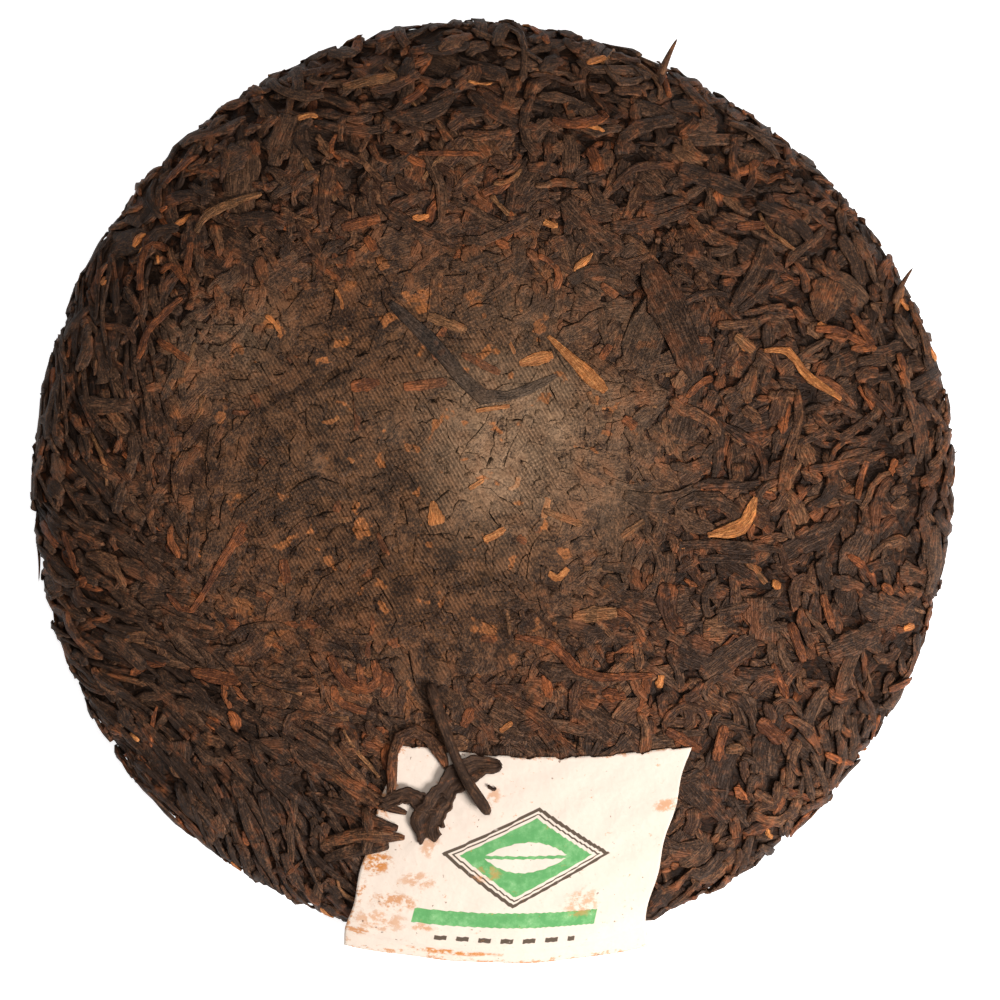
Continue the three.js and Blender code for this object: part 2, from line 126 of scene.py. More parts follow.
def half_section():
    """Half the cake's section, from the middle of the dome round the rim to the middle underneath."""
    dome = CAKE_RADIUS * (1 - (1 - np.linspace(0, 1, SECTION_STEPS + 1)) ** RIM_CROWDING)
    inwards = np.linspace(0, 1, SECTION_STEPS // 2 + 1)[1:]
    under = CAKE_RADIUS - (CAKE_RADIUS - FOOT_RADIUS) * inwards**RIM_CROWDING
    dimple = DIMPLE_RADIUS * (1 - np.linspace(0, 1, SECTION_STEPS // 4 + 1))
    height = [dome_height(dome), underside_height(under), underside_height(dimple)]
    return np.concatenate([dome, under, dimple]), np.concatenate(height)


def swell_at(x, y):
    """Low swells of the pressed face, as no press leaves it quite even."""
    across = np.sin(x / SWELL_LENGTH + 1.3) * np.cos(y / (1.15 * SWELL_LENGTH) + 0.4)
    return SWELL * (across + 0.5 * np.sin((x - y) / (0.7 * SWELL_LENGTH)))


def outline_growth(radius, bearing):
    """The cake's reach over a true circle's: all of the waves at the rim, and none in the middle."""
    wave = sum(share * np.cos(count * bearing - math.radians(phase)) for count, share, phase in OUTLINE_WAVES)
    return 1 + wave * (radius / CAKE_RADIUS) ** 2


class Skin:
    """The cake's skin spread flat: (x, y) is a distance and a bearing from the middle of one face.
    The hand is 1 for the upper face, and -1 for the underside, whose chart is mirrored."""

    def __init__(self, radius, height, hand):
        if hand < 0:
            radius, height = radius[::-1], height[::-1]
        steps = np.hypot(np.diff(radius), np.diff(height))
        last = len(radius) - 1
        before = np.maximum(np.arange(last + 1) - 1, 0)
        after = np.minimum(np.arange(last + 1) + 1, last)
        run = np.stack([radius[after] - radius[before], height[after] - height[before]])
        run = hand * run / np.hypot(*run)
        self.hand = hand
        self.along = np.concatenate([[0], np.cumsum(steps)])
        self.radius = radius
        self.height = height
        self.out = -run[1]
        self.up = run[0]
        self.waist = self.along[np.argmax(radius)]
        self.end = self.along[-1]

    def section(self, along):
        radius = np.interp(along, self.along, self.radius)
        height = np.interp(along, self.along, self.height)
        out = np.interp(along, self.along, self.out)
        up = np.interp(along, self.along, self.up)
        size = np.hypot(out, up)
        return radius, height, out / size, up / size

    def point(self, x, y, lift):
        """Places at a height over the skin, as an array with x, y and z last."""
        radius, height, out, up = self.section(np.hypot(x, y))
        bearing = np.arctan2(y, x * self.hand)
        lift = lift + np.maximum(0, up) * swell_at(radius * np.cos(bearing), radius * np.sin(bearing))
        reach = radius * outline_growth(radius, bearing) + out * lift
        return np.stack([reach * np.cos(bearing), reach * np.sin(bearing), height + up * lift], axis=-1)

    def plan(self, x, y):
        """Where places on the chart lie in plan."""
        along = np.maximum(np.hypot(x, y), 1e-9)
        radius = np.interp(along, self.along, self.radius)
        return x * self.hand * radius / along, y * radius / along

    def spread(self, points):
        """A path in plan on this face as a path on the chart."""
        points = np.array(points, float)
        rise = self.along <= self.waist
        radius = np.hypot(*points.T)
        along = np.interp(radius, self.radius[rise], self.along[rise])
        return points * (along / np.maximum(radius, 1e-9))[:, None]


FACE = Skin(*half_section(), 1)
UNDER = Skin(*half_section(), -1)


def ticket_place(x, y):
    """How far across the ticket, as a share, and how far below its top edge plan positions lie."""
    across = (x - TICKET_LEFT) / TICKET_WIDTH
    for _ in range(4):
        top = TICKET_TOP - TICKET_TOP_SAG * np.sin(np.pi * np.clip(across, 0, 1))
        drop = top - y
        across = (x - TICKET_LEFT - TICKET_LEAN * drop) / TICKET_WIDTH
    return across, drop


def under_ticket(x, y):
    """1 where the plan position is under the ticket, falling to 0 within about a millimetre of it."""
    across, drop = ticket_place(x, y)
    inside = np.minimum(across, 1 - across) * TICKET_WIDTH
    return smooth_step(np.minimum(inside, drop), -1.2, 0.2)


def ticket_ripple(across, down):
    return TICKET_RIPPLE * (0.5 + 0.3 * np.sin(9 * across + 2) * down + 0.2 * np.cos(11 * down + 3 * across))


def over_ticket_lift(x, y):
    """How far over the skin a leaf lies whose one end is on the ticket and the other on the tea."""
    across, drop = ticket_place(*FACE.plan(x, y))
    inside = np.minimum(np.minimum(across, 1 - across) * TICKET_WIDTH, drop)
    free = smooth_step(np.hypot(x, y), TICKET_STUCK_SHARE * FACE.waist, FACE.waist)
    paper = GAP + ticket_ripple(across, drop / TICKET_LENGTH) + TICKET_SOLID + TICKET_STAND_OFF * free
    beside = blend(-1.7, 0.35, smooth_step(inside, -17, -7))
    return blend(beside, paper + 0.3, smooth_step(inside, -3.5, -0.3))


class Pile:
    """How high the leaf lies over the spread skin, on a fine grid, while it is laid down."""

    PITCH = 0.4

    def __init__(self, reach):
        self.reach = reach
        self.size = int(2 * reach / self.PITCH) + 2
        self.height = np.zeros((self.size, self.size))

    def cell(self, place):
        return np.clip(np.rint((place + self.reach) / self.PITCH).astype(int), 0, self.size - 1)

    def at(self, x, y):
        return self.height[self.cell(x), self.cell(y)]

    def cover(self, x, y, height):
        np.maximum.at(self.height, (self.cell(x), self.cell(y)), height)

    def blurred(self, spread):
        """The pile's height averaged over the places within about spread of each."""
        half = int(3 * spread / self.PITCH)
        weights = np.exp(-0.5 * (np.arange(-half, half + 1) * self.PITCH / spread) ** 2)
        weights /= weights.sum()
        rows = np.stack([np.convolve(line, weights, mode="same") for line in self.height])
        level = Pile(self.reach)
        level.height = np.stack([np.convolve(line, weights, mode="same") for line in rows.T]).T
        return level

    def smooth_at(self, x, y):
        """The height between grid places, for a pile that is smooth."""
        column = np.clip((x + self.reach) / self.PITCH, 0, self.size - 1.001)
        row = np.clip((y + self.reach) / self.PITCH, 0, self.size - 1.001)
        i, j = column.astype(int), row.astype(int)
        right, up = column - i, row - j
        low = blend(self.height[i, j], self.height[i + 1, j], right)
        high = blend(self.height[i, j + 1], self.height[i + 1, j + 1], right)
        return blend(low, high, up)


class Press:
    """The press that squeezes a laid pile. In the middle of the face it leaves it nearly flush, and
    towards the rim the leaf keeps more of its own relief. Order in height is kept."""

    def __init__(self, pile, skin):
        self.level = pile.blurred(5)
        self.skin = skin

    def lift(self, x, y, height):
        """Height over the skin once pressed, and how hard that place was pressed, from 0 to 1."""
        share = np.clip(np.hypot(x, y) / self.skin.waist, 0, 1)
        aside = FLUSH_ASIDE * self.skin.hand * (1 - share**2)
        rim = smooth_step(np.hypot(x + aside, y) / self.skin.waist, 0.34, 0.95)
        over = height - self.level.smooth_at(x, y)
        if self.skin.hand > 0:
            plane, top, keep = blend(-0.7, -0.35, rim), blend(0.2, 0.35, rim), blend(0.1, 0.85, rim)
            soft, give = blend(0.12, 0.38, rim), blend(0.03, 0.42, rim)
            deep, fade = blend(0.9, 0, rim), blend(0.3, 0.38, rim)
        else:
            plane, top, keep, give, soft = 0.3, 0.0, 0.5, 0.0, 0.6
            deep, fade = 0, soft
        below = soft * np.logaddexp(0, (plane - over) / soft)
        above = soft * np.logaddexp(0, (over - plane) / soft)
        lift = top - keep * below + give * np.minimum(above, 3)
        pressed = 1 / (1 + np.exp(np.clip((plane - deep - over) / fade, -30, 30)))
        return lift, pressed


def grain_heading(x, y, waist):
    """The way that leaf tends to lie: along the rim near it, and in loose swirls elsewhere."""
    swirl = 1.9 * np.sin(x / 21 + 0.8 * np.cos(y / 17)) + 1.6 * np.cos(y / 24 - 0.9 * np.sin(x / 15) + 1)
    round_rim = np.arctan2(y, x) + np.pi / 2
    share = smooth_step(np.hypot(x, y) / waist, 0.5, 0.95)
    return round_rim + (1 - 0.75 * share) * swirl


def stray_at(x, y, waist):
    """How far leaf strays from that, as a share: least near the rim at the front left."""
    front_left = smooth_step(-(x + y) / (math.sqrt(2) * waist), 0.1, 0.8)
    return 1.25 - 0.75 * front_left


class Leaves:
    """Leaves of one kind: a row each, with a place, a heading, a width, a thickness and the height of
    the bed under it at every station along it."""

    def __init__(self, name, palette, stations, top_points, count):
        self.name = name
        self.palette = palette
        self.count = count
        self.shares = np.sin(np.linspace(-np.pi / 2, np.pi / 2, stations)) / 2 + 0.5
        self.top_points = top_points
        self.x, self.y, self.heading, self.width, self.thick, self.bed = np.zeros((6, count, stations))
        self.length = np.zeros(count)
        self.ridge = np.zeros(count)
        self.edge = np.full(count, 0.4)
        self.tone, self.rust, self.phase, self.twist = np.zeros((4, count))

    def lay(self, row, pile):
        """Lays one leaf on the pile: it bends over what is under it, and then the pile is higher."""
        x, y, heading = self.x[row], self.y[row], self.heading[row]
        left = np.stack([-np.sin(heading), np.cos(heading)])
        half = self.width[row] / 2
        beds = []
        for share in (-0.6, 0, 0.6):
            beds.append(pile.at(x + left[0] * half * share, y + left[1] * half * share))
        bed = 0.55 * np.max(beds, axis=0) + 0.45 * np.mean(beds, axis=0)
        for _ in range(2):
            bed = np.convolve(np.pad(bed, 1, mode="edge"), [0.25, 0.5, 0.25], mode="valid")
        self.bed[row] = bed
        steps = max(3, int(self.length[row] / pile.PITCH * 1.3))
        fine = np.linspace(0, 1, steps)
        values = (x, y, left[0], left[1], half, self.thick[row], bed)
        x, y, left_x, left_y, half, thick, bed = (np.interp(fine, self.shares, v)[:, None] for v in values)
        sides = np.linspace(-1, 1, max(3, int(2 * half.max() / pile.PITCH * 1.3)))[None, :]
        rise = bed + thick * (0.4 + 0.6 * np.sqrt(1 - sides**2))
        pile.cover((x + left_x * half * sides).ravel(), (y + left_y * half * sides).ravel(), rise.ravel())


def bent_paths(length, bend, sway, phase, shares):
    """Paths that bend evenly and sway, about their middles, heading along x, and their headings."""
    fine = np.linspace(0, 1, 25)
    heading = bend[:, None] * (fine - 0.5) + sway[:, None] * np.sin(2 * np.pi * (fine + phase[:, None]))
    step = length[:, None] / 24
    x = np.cumsum(np.cos(heading), axis=1) * step
    y = np.cumsum(np.sin(heading), axis=1) * step
    x -= x[:, 12:13]
    y -= y[:, 12:13]
    return [np.stack([np.interp(shares, fine, line) for line in lines]) for lines in (x, y, heading)]


# What a place wholly under the ticket counts as, in height, when leaf looks for low places
HIDDEN = 50


@dataclass
class Kind:
    """How one kind of scattered leaf measures: ranges in millimetres, and angles in degrees."""

    name: str
    palette: str
    count: int
    length: tuple
    width: tuple
    thick: tuple
    bend: float
    sway: float
    stations: int = 7
    top_points: int = 6
    ridge: float = 0.2
    edge: float = 0.4
    blunt: tuple = (0.15, 0.75)
    uneven: float = 0.18
    stray: float = 35
    # Up to how much sooner than the rest it is laid, and the ring and the sector that it lies in
    early: float = 0
    ring: tuple = (0, 1)
    sector: tuple = (0, 360)
    tone: float = 0.5
    rust: float = 0.25

    def leaves(self, rng):
        """The leaves of this kind with their shapes, about their own middles and not yet laid."""

        def draw(low, high):
            return rng.uniform(low, high, self.count)

        made = Leaves(self.name, self.palette, self.stations, self.top_points, self.count)
        made.length = self.length[0] + (self.length[1] - self.length[0]) * draw(0, 1) ** 1.4
        width = draw(*self.width)
        turn = np.radians(self.bend) * rng.normal(0, 0.6, self.count)
        sway = np.radians(self.sway) * draw(-1, 1)
        made.x, made.y, made.heading = bent_paths(made.length, turn, sway, draw(0, 1), made.shares)
        middle = np.abs(2 * made.shares - 1)
        ends = np.where(made.shares < 0.5, draw(*self.blunt)[:, None], draw(*self.blunt)[:, None])
        fullness = ends + (1 - ends) * (1 - middle**3.5) ** 0.7
        unevenness = 1 + rng.normal(0, self.uneven, fullness.shape)
        made.width = width[:, None] * fullness * unevenness
        made.thick = draw(*self.thick)[:, None] * (0.5 + 0.5 * fullness)
        made.thick *= 1 + rng.normal(0, 0.1, fullness.shape)
        made.ridge[:] = self.ridge
        made.edge[:] = self.edge
        made.tone = np.clip(rng.normal(self.tone, 0.22, self.count), 0, 1)
        made.rust = np.clip(rng.normal(self.rust, 0.2, self.count), 0, 1)
        made.phase = draw(0, 1)
        made.twist = draw(-1.2, 1.2)
        return made


def scatter(skin, kinds, reach, tries, rng):
    """Lays all of the kinds on a skin, mixed, each leaf in the lowest of a few places."""
    pile = Pile(reach + 12)
    batches = [kind.leaves(rng) for kind in kinds]
    turns = [(batch, kind, row) for batch, kind in zip(batches, kinds) for row in range(batch.count)]
    when = np.concatenate([rng.random(kind.count) - kind.early for kind in kinds])
    for turn in np.argsort(when):
        batch, kind, row = turns[turn]
        local_x, local_y, local_heading = batch.x[row].copy(), batch.y[row].copy(), batch.heading[row].copy()
        best = None
        for _ in range(tries):
            along = reach * math.sqrt(rng.uniform(kind.ring[0] ** 2, kind.ring[1] ** 2))
            bearing = math.radians(rng.uniform(*kind.sector))
            x, y = along * math.cos(bearing), along * math.sin(bearing)
            stray = math.radians(kind.stray) * stray_at(x, y, skin.waist)
            heading = grain_heading(x, y, skin.waist) + stray * rng.normal()
            ahead_x, ahead_y = math.cos(heading), math.sin(heading)
            path_x = x + local_x * ahead_x - local_y * ahead_y
            path_y = y + local_x * ahead_y + local_y * ahead_x
            level = pile.at(path_x, path_y).mean()
            if skin.hand > 0:
                level = level + HIDDEN * under_ticket(*skin.plan(path_x, path_y)).min()
            if best is None or level < best[0]:
                best = (level, path_x, path_y, local_heading + heading)
        batch.x[row], batch.y[row], batch.heading[row] = best[1:]
        batch.lay(row, pile)
    return pile, batches


def rounded_section(top_points, edge):
    """A leaf's section: places across it and heights, over the top from right to left and back below."""
    turn = np.linspace(-np.pi / 2, np.pi / 2, top_points)
    across = np.concatenate([np.sin(turn), [0.6, -0.6]])
    top = edge[:, None] + (1 - edge[:, None]) * np.cos(turn)[None, :] ** 0.8
    return across, np.concatenate([top, np.zeros((len(edge), 2))], axis=1)


def leaf_corners(leaves, skin, lift_of, mess):
    """The corners of all the leaves: an array of places, with a tone, a rust and a pressed share."""
    across, profile = rounded_section(leaves.top_points, leaves.edge)
    points = len(across)
    stations = len(leaves.shares)
    shares = leaves.shares[None, :, None]
    wave = across[None, None, :] * 1.3 + leaves.twist[:, None, None] * shares + leaves.phase[:, None, None]
    ridges = 1 + leaves.ridge[:, None, None] * np.cos(2 * np.pi * wave)
    ridges = ridges * (1 + mess.normal(0, 0.1, (leaves.count, stations, points)))
    rise = profile[:, None, :] * ridges * leaves.thick[:, :, None]
    half = leaves.width[:, :, None] / 2 * (1 + mess.normal(0, 0.08, (leaves.count, stations, points)))
    x = leaves.x[:, :, None] - np.sin(leaves.heading)[:, :, None] * half * across
    y = leaves.y[:, :, None] + np.cos(leaves.heading)[:, :, None] * half * across
    lift, pressed = lift_of(x, y, leaves.bed[:, :, None] - 0.15 + rise)
    place = skin.point(x, y, lift)
    place[..., 2] = np.maximum(place[..., 2], 0.03)
    tone = np.broadcast_to(leaves.tone[:, None, None], x.shape)
    rust = np.broadcast_to(leaves.rust[:, None, None], x.shape)
    offset = (leaves.phase * 137)[:, None, None]
    flat = np.stack(
        [
            offset + shares * leaves.length[:, None, None] + 0 * x,
            offset * 0.37 + across[None, None, :] * half,
        ],
        axis=-1,
    )
    return place, np.stack([tone, rust, pressed], axis=-1), flat


def leaf_faces(count, stations, points, hand):
    """Four-cornered faces of closed leaves, each a row of rings shut at both ends, facing outwards."""
    ring = np.arange(points)
    step = np.arange(stations - 1)[:, None] * points
    here, there = step + ring, step + np.roll(ring, -1)
    sides = np.stack([here, here + points, there + points, there], axis=-1).reshape(-1, 4)
    i = np.arange(points // 2 - 1)
    cap = np.stack([i, i + 1, points - 2 - i, points - 1 - i], axis=-1)
    far_cap = cap[:, ::-1] + (stations - 1) * points
    one = np.concatenate([sides, cap, far_cap])
    if hand < 0:
        one = one[:, ::-1]
    return (np.arange(count)[:, None, None] * stations * points + one).reshape(-1, 4)


def mesh_from(name, corners, faces, facts, flat):
    """A piece from arrays of corners in millimetres and four-cornered faces."""
    mesh = bpy.data.meshes.new(name)
    mesh.vertices.add(len(corners))
    mesh.vertices.foreach_set("co", (corners * MM).astype(np.float32).ravel())
    mesh.loops.add(faces.size)
    mesh.loops.foreach_set("vertex_index", faces.astype(np.int32).ravel())
    mesh.polygons.add(len(faces))
    mesh.polygons.foreach_set("loop_start", np.arange(0, faces.size, 4, dtype=np.int32))
    mesh.polygons.foreach_set("use_smooth", np.ones(len(faces), dtype=bool))
    mesh.update(calc_edges=True)
    leaf = mesh.attributes.new("leaf", "FLOAT_VECTOR", "POINT")
    leaf.data.foreach_set("vector", facts.astype(np.float32).ravel())
    layer = mesh.uv_layers.new(name="grain")
    layer.data.foreach_set("uv", flat[faces.ravel()].astype(np.float32).ravel())
    mesh.validate()
    piece = bpy.data.objects.new(name, mesh)
    bpy.context.scene.collection.objects.link(piece)
    return piece


def leaf_piece(leaves, skin, lift_of, mess):
    """One piece of all the leaves of a kind."""
    place, facts, flat = leaf_corners(leaves, skin, lift_of, mess)
    faces = leaf_faces(leaves.count, place.shape[1], place.shape[2], skin.hand)
    return mesh_from(leaves.name, place.reshape(-1, 3), faces, facts.reshape(-1, 3), flat.reshape(-1, 2))


# Kinds of leaf on the face, from the broad ones that lie lowest to chips
FACE_KINDS = [
    Kind(
        "broad_leaf", "dark", 520, (8, 19), (3.6, 7.4), (0.5, 1), 34, 10, 8, 8,
        edge=0.6, early=0.12, stray=55, uneven=0.24,
    ),
    Kind("dark_leaf", "dark", 1480, (5, 18), (1.6, 3.7), (1, 1.7), 95, 24, ridge=0.3),
    Kind(
        "brown_leaf", "brown", 1350, (4, 14), (1.4, 3.3), (0.9, 1.5), 110, 28,
        ridge=0.3, rust=0.4, stray=50,
    ),
    Kind(
        "slate_leaf", "dark", 520, (8, 22), (1, 2.1), (0.7, 1.2), 30, 10, 9,
        ridge=0.3, ring=(0.6, 1), sector=(150, 285), stray=14, early=-0.15, tone=0.25, rust=0.2,
    ),
    Kind("rust_leaf", "rust", 300, (3, 10), (1.1, 2.5), (0.7, 1.1), 100, 24, rust=0.6, stray=50),
    Kind("golden_leaf", "golden", 70, (2, 6), (0.9, 1.8), (0.6, 1), 80, 16, early=-0.2, rust=0.5, stray=60),
    Kind("stem", "stem", 70, (7, 15), (0.8, 1.5), (0.8, 1.2), 50, 12, ridge=0.06, blunt=(0.6, 0.9), rust=0.3),
    Kind(
        "flake", "brown", 620, (3, 11), (2, 5.5), (0.3, 0.6), 50, 8, 6, 6,
        stray=90, ring=(0, 0.62), edge=0.6, uneven=0.24,
    ),
    Kind(
        "chip", "brown", 2200, (1.2, 5), (0.8, 2.6), (0.4, 0.9), 60, 10, 4, 4,
        stray=90, early=0.05, rust=0.4,
    ),
]
UNDER_KINDS = [
    Kind(
        "under_broad_leaf", "dark", 220, (8, 20), (4, 7.5), (0.5, 0.9), 30, 8, 6, 6,
        edge=0.6, early=0.5,
    ),
    Kind("under_leaf", "brown", 1900, (7, 20), (1.6, 3.1), (0.9, 1.4), 60, 12, 5, 4),
]

# The leaves that stand out in the face, by palette: each one's width, or its widths on the way, and a few
# places that it runs through, in plan
NOTABLE_LEAVES = {
    "dark": {
        "big dark leaf": ((5, 7.5, 7, 4.5), [(33, 43), (38, 31), (43, 18)]),
        "wide leaf at the back": (4.5, [(40, 64), (47, 62), (54, 59)]),
        "broad dark leaf": ((4, 6, 5), [(70, -39), (81, -34)]),
        "upper of two strips": (1.9, [(39, -17), (50, -17), (60, -18)]),
        "lower of two strips": (1.9, [(43, -20), (55, -20)]),
        "strip by the stalk": ((1.4, 2, 1.8), [(-14.5, -47), (-12, -49.7), (-7.6, -55)]),
        "long strip to the ticket": (2.2, [(-47, -52), (-37, -57), (-31, -61)]),
    },
    "slate": {
        "slate leaf": (
            (2.2, 3.4, 3.6, 3.2, 2.4, 1.6),
            [(-21, 34), (-12, 25), (-6, 18), (-1, 13.8), (6, 14.8), (14, 18.6)],
        ),
    },
    "brown": {
        "fan of leaf": ((3, 6, 8, 7), [(69, 31), (72, 40)]),
        "ring": (1.4, [(-40, 43), (-36, 43), (-36, 38), (-40, 38)]),
        "brown arc": (1.9, [(26, 59), (31, 64), (39, 65)]),
        "stick": (1.4, [(53, 32), (62, 34)]),
        "rim strip": (2.2, [(89, 37), (92, 24)]),
        "curled strip": (1.9, [(67, 11), (72, 6), (76, 8), (79, 11)]),
        "tan stem": ((1.6, 2.4, 2.4, 2), [(64, 16), (64, 9), (62, 3), (60, -6)]),
        "long brown strip": (1.9, [(66, -1), (74, 0.5), (82, 3)]),
        "horseshoe": (1.9, [(36, -56), (36, -53), (40, -50), (44, -52), (43, -55)]),
        "front curl": (2.2, [(54, -67), (58, -69), (59, -65)]),
        "long brown leaf": ((1.6, 3, 2.2), [(1, -47), (10, -52.5), (15, -58)]),
        "dark hook": (2, [(-42, -56), (-40, -52), (-30, -54)]),
    },
    "rust": {
        "rust block": (3, [(21, 68), (23, 63)]),
        "upper patch": (2.4, [(-31, 50), (-23, 52)]),
        "lower patch": (2, [(-26, 48), (-24, 45)]),
        "patch by the slate leaf": ((2.4, 3, 1.4), [(-29, 16), (-23, 17)]),
        "patch at the slate leaf's end": (2.2, [(-18, 16), (-9, 17)]),
        "small patch in front": (2.2, [(-43, -20), (-42, -25)]),
        "red strip in the middle": (1.6, [(-6, 23), (2, 19)]),
        "bit by the golden stalk": (1.6, [(23, 22), (25, 25)]),
        "bit by the curl in front": (1.5, [(5.6, -15.5), (7.4, -16.8)]),
        "rust bit to the right": (2.2, [(27.6, 9.4), (30.2, 7.4)]),
        "long red strip": ((1.6, 2.2, 2, 1.4), [(5, -36), (13, -38), (20, -44), (33, -44)]),
        "outer curl": (1.8, [(-74, 38), (-74, 44), (-72, 48), (-68, 47)]),
        "inner curl": (1.6, [(-70, 42), (-67, 43), (-64, 39)]),
        "strip by the curls": (1.6, [(-63, 48), (-64, 41)]),
        "rust wave": (1.8, [(-65, 36), (-69, 32), (-72, 29), (-74, 23)]),
        "bit at the left": (1.6, [(-70, 27), (-63, 22)]),
        "strip at the far left": (1.5, [(-90, -13), (-87, -22)]),
        "strip above the stalk": (1.8, [(-69, 62), (-62, 68)]),
        "thin strip at the back": (1.3, [(-15, 66), (-2, 66)]),
        "rust hook": (2.2, [(13, 74), (18, 73), (24, 75), (23, 77)]),
        "small rust leaf": (2, [(52, 51), (58, 52)]),
        "rust strip": (2, [(68, 29), (73, 29), (80, 26)]),
        "strip on the rust strip": (1.8, [(76, 33), (80, 26)]),
        "strip below the brown strip": (1.6, [(78, 1), (76, -7)]),
        "rust strip near the rim": (2.2, [(62, -33), (65, -41)]),
        "bit near the rim": (1.8, [(69, -27), (71, -34)]),
        "red bit at the rim": (1.8, [(83, -46), (88, -43)]),
        "red strip by the horseshoe": (2.2, [(36, -55), (43, -59)]),
        "short red strip": (2.4, [(48, -54), (46, -61)]),
        "folded leaf": (3, [(55, -53), (60, -57)]),
        "red bit by the stalk": ((1.4, 2.6, 2), [(-3.8, -50.6), (-5.6, -54.6)]),
        "hooked stalk": (
            (2.4, 2, 1.4, 1.5, 1.2),
            [(-51, -12.5), (-55, -19.5), (-60, -28), (-63, -31), (-67, -27)],
        ),
        "rust wedge": ((1.6, 3.2, 2.6), [(-62, -43), (-52, -45)]),
        "red curl": (2.3, [(-33, -40), (-30, -45), (-26, -47), (-23, -45), (-24, -41)]),
    },
    "golden": {
        "pale strip": (1.1, [(-3, 11), (4, 12)]),
        "golden leaf": ((1.6, 2.8, 2.4), [(6, 21), (13, 23)]),
        "golden stalk": ((1.2, 1.8, 3.2, 2.6), [(12, 27), (16, 23), (20, 19), (24, 15)]),
        "tan triangle": ((1, 3, 4.2), [(-12, -8), (-11, -13)]),
        "small curl": (1.5, [(12, -23), (14, -24), (16, -22)]),
        "curl in front": (1.5, [(-1.4, -16.2), (0.7, -15.4), (3, -13.8)]),
        "bit in the dust": (1.1, [(-4.4, -5.6), (-1.4, -3.6)]),
        "golden wave": ((1.4, 2, 1.9, 1.2), [(57, 24), (62, 24), (66, 19), (73, 14)]),
        "golden brown leaf": ((1.6, 3, 2.8, 1.6), [(45, -15), (52, -13), (55, -7)]),
        "golden bit by the stalk": (1.1, [(4.5, -53.6), (2, -55.5)]),
    },
    "stem": {
        "tan patch": (2.2, [(-13, 31), (-5, 28)]),
        "pink strip": (1.6, [(11, -10), (19, -13)]),
        "tan bit to the right": (1.6, [(27.2, -15.4), (31.8, -12)]),
        "tan bit above": (1.3, [(20.4, 15), (21.6, 12.4)]),
        "tan oval": ((2, 3.6, 2.6), [(17, -32), (26, -31)]),
        "bent tan stalk": ((1.6, 2.2, 2, 1.5), [(-62, 50), (-59, 54), (-48, 58)]),
        "tan leaf at the back": (2.4, [(-31, 81), (-20, 83)]),
        "tan lump": (2.4, [(51, 27), (55, 24)]),
    },
}

# Leaves whose ends lie on the ticket, along its left edge, and a crumb on it, told in the same way
EDGE_LEAVES = {
    "dark": {
        "bottom leaf": ((2, 2.8, 2.4), [(-34, -81), (-27, -78.8), (-20.6, -78)]),
        "middle leaf": ((2, 3, 3, 2), [(-37, -68.6), (-29.5, -70.9), (-23, -73.8), (-18.8, -74.8)]),
        "leaf across": ((2, 2.6, 2.2), [(-25.6, -70.4), (-24.6, -75), (-25.2, -79.4)]),
        "crumb": (0.7, [(-0.5, -66.3), (0.5, -67.1), (1.2, -66.8)]),
    },
    "brown": {
        "border leaf": (
            (1.8, 2.3, 2.4, 2.2, 2.5, 2.7, 2.7, 2.6, 2.2),
            [(-20.9, -70), (-20, -66.5), (-20, -62), (-19.3, -58), (-17.3, -55.4), (-14.6, -55.4),
             (-12, -57.4), (-9.8, -60.6), (-9, -62.8)],
        ),
        "long leaf": ((2, 2.8, 3, 2.8, 1.5), [(-37, -60.5), (-29, -66), (-23, -69.6), (-17, -71.8)]),
        "low leaf": ((2, 2.8, 3, 1.4), [(-35, -78), (-26, -76), (-17.4, -76.6)]),
    },
}
NOTABLE_STATIONS = 13


def smooth_path(points, shares):
    """A smooth line through a few points, at shares of its length: x, y, heading, and how long it is."""
    points = np.array(points, float)
    ends = np.concatenate([2 * points[:1] - points[1:2], points, 2 * points[-1:] - points[-2:-1]])
    step = np.linspace(0, 1, 12, endpoint=False)[:, None]
    curves = []
    for a, b, c, d in zip(ends, ends[1:], ends[2:], ends[3:]):
        cubic = 3 * b - a - 3 * c + d
        square = 2 * a - 5 * b + 4 * c - d
        curves.append(b + ((c - a) * step + square * step**2 + cubic * step**3) / 2)
    line = np.concatenate(curves + [points[-1:]])
    run = np.concatenate([[0], np.cumsum(np.hypot(*np.diff(line, axis=0).T))])
    ahead = np.gradient(line, axis=0)
    heading = np.unwrap(np.arctan2(ahead[:, 1], ahead[:, 0]))
    wanted = np.asarray(shares) * run[-1]
    x, y, heading = (np.interp(wanted, run, values) for values in (line[:, 0], line[:, 1], heading))
    return x, y, heading, run[-1]


def widths_at(widths, shares):
    """A width for each share of the way, from one width or a few at even steps."""
    widths = np.atleast_1d(widths)
    return np.interp(shares, np.linspace(0, 1, len(widths)), widths)


def placed_leaves(prefix, rows, pile, rng):
    """Leaves along chosen lines, laid in turn, in a batch for each palette."""
    batches = []
    for palette, chosen in rows.items():
        leaves = Leaves(prefix + "_" + palette, palette, NOTABLE_STATIONS, 8, len(chosen))
        middle = np.abs(2 * leaves.shares - 1)
        for row, (widths, points) in enumerate(chosen.values()):
            x, y, heading, length = smooth_path(FACE.spread(points), leaves.shares)
            fullness = 0.55 + 0.45 * (1 - middle**4) ** 0.6
            width = widths_at(widths, leaves.shares) * fullness * (1 + rng.normal(0, 0.07, len(middle)))
            leaves.x[row], leaves.y[row], leaves.heading[row], leaves.length[row] = x, y, heading, length
            leaves.width[row] = width
            leaves.thick[row] = np.clip(0.5 * width.max(), 0.7, 1.3) * (0.55 + 0.45 * fullness)
        leaves.ridge[:] = 0.25
        leaves.edge[:] = 0.5
        leaves.tone = rng.uniform(0.35, 0.75, leaves.count)
        leaves.rust = rng.uniform(0.2, 0.5, leaves.count)
        leaves.phase = rng.random(leaves.count)
        leaves.twist = rng.uniform(-0.8, 0.8, leaves.count)
        for row in range(leaves.count):
            leaves.lay(row, pile)
        batches.append(leaves)
    return batches


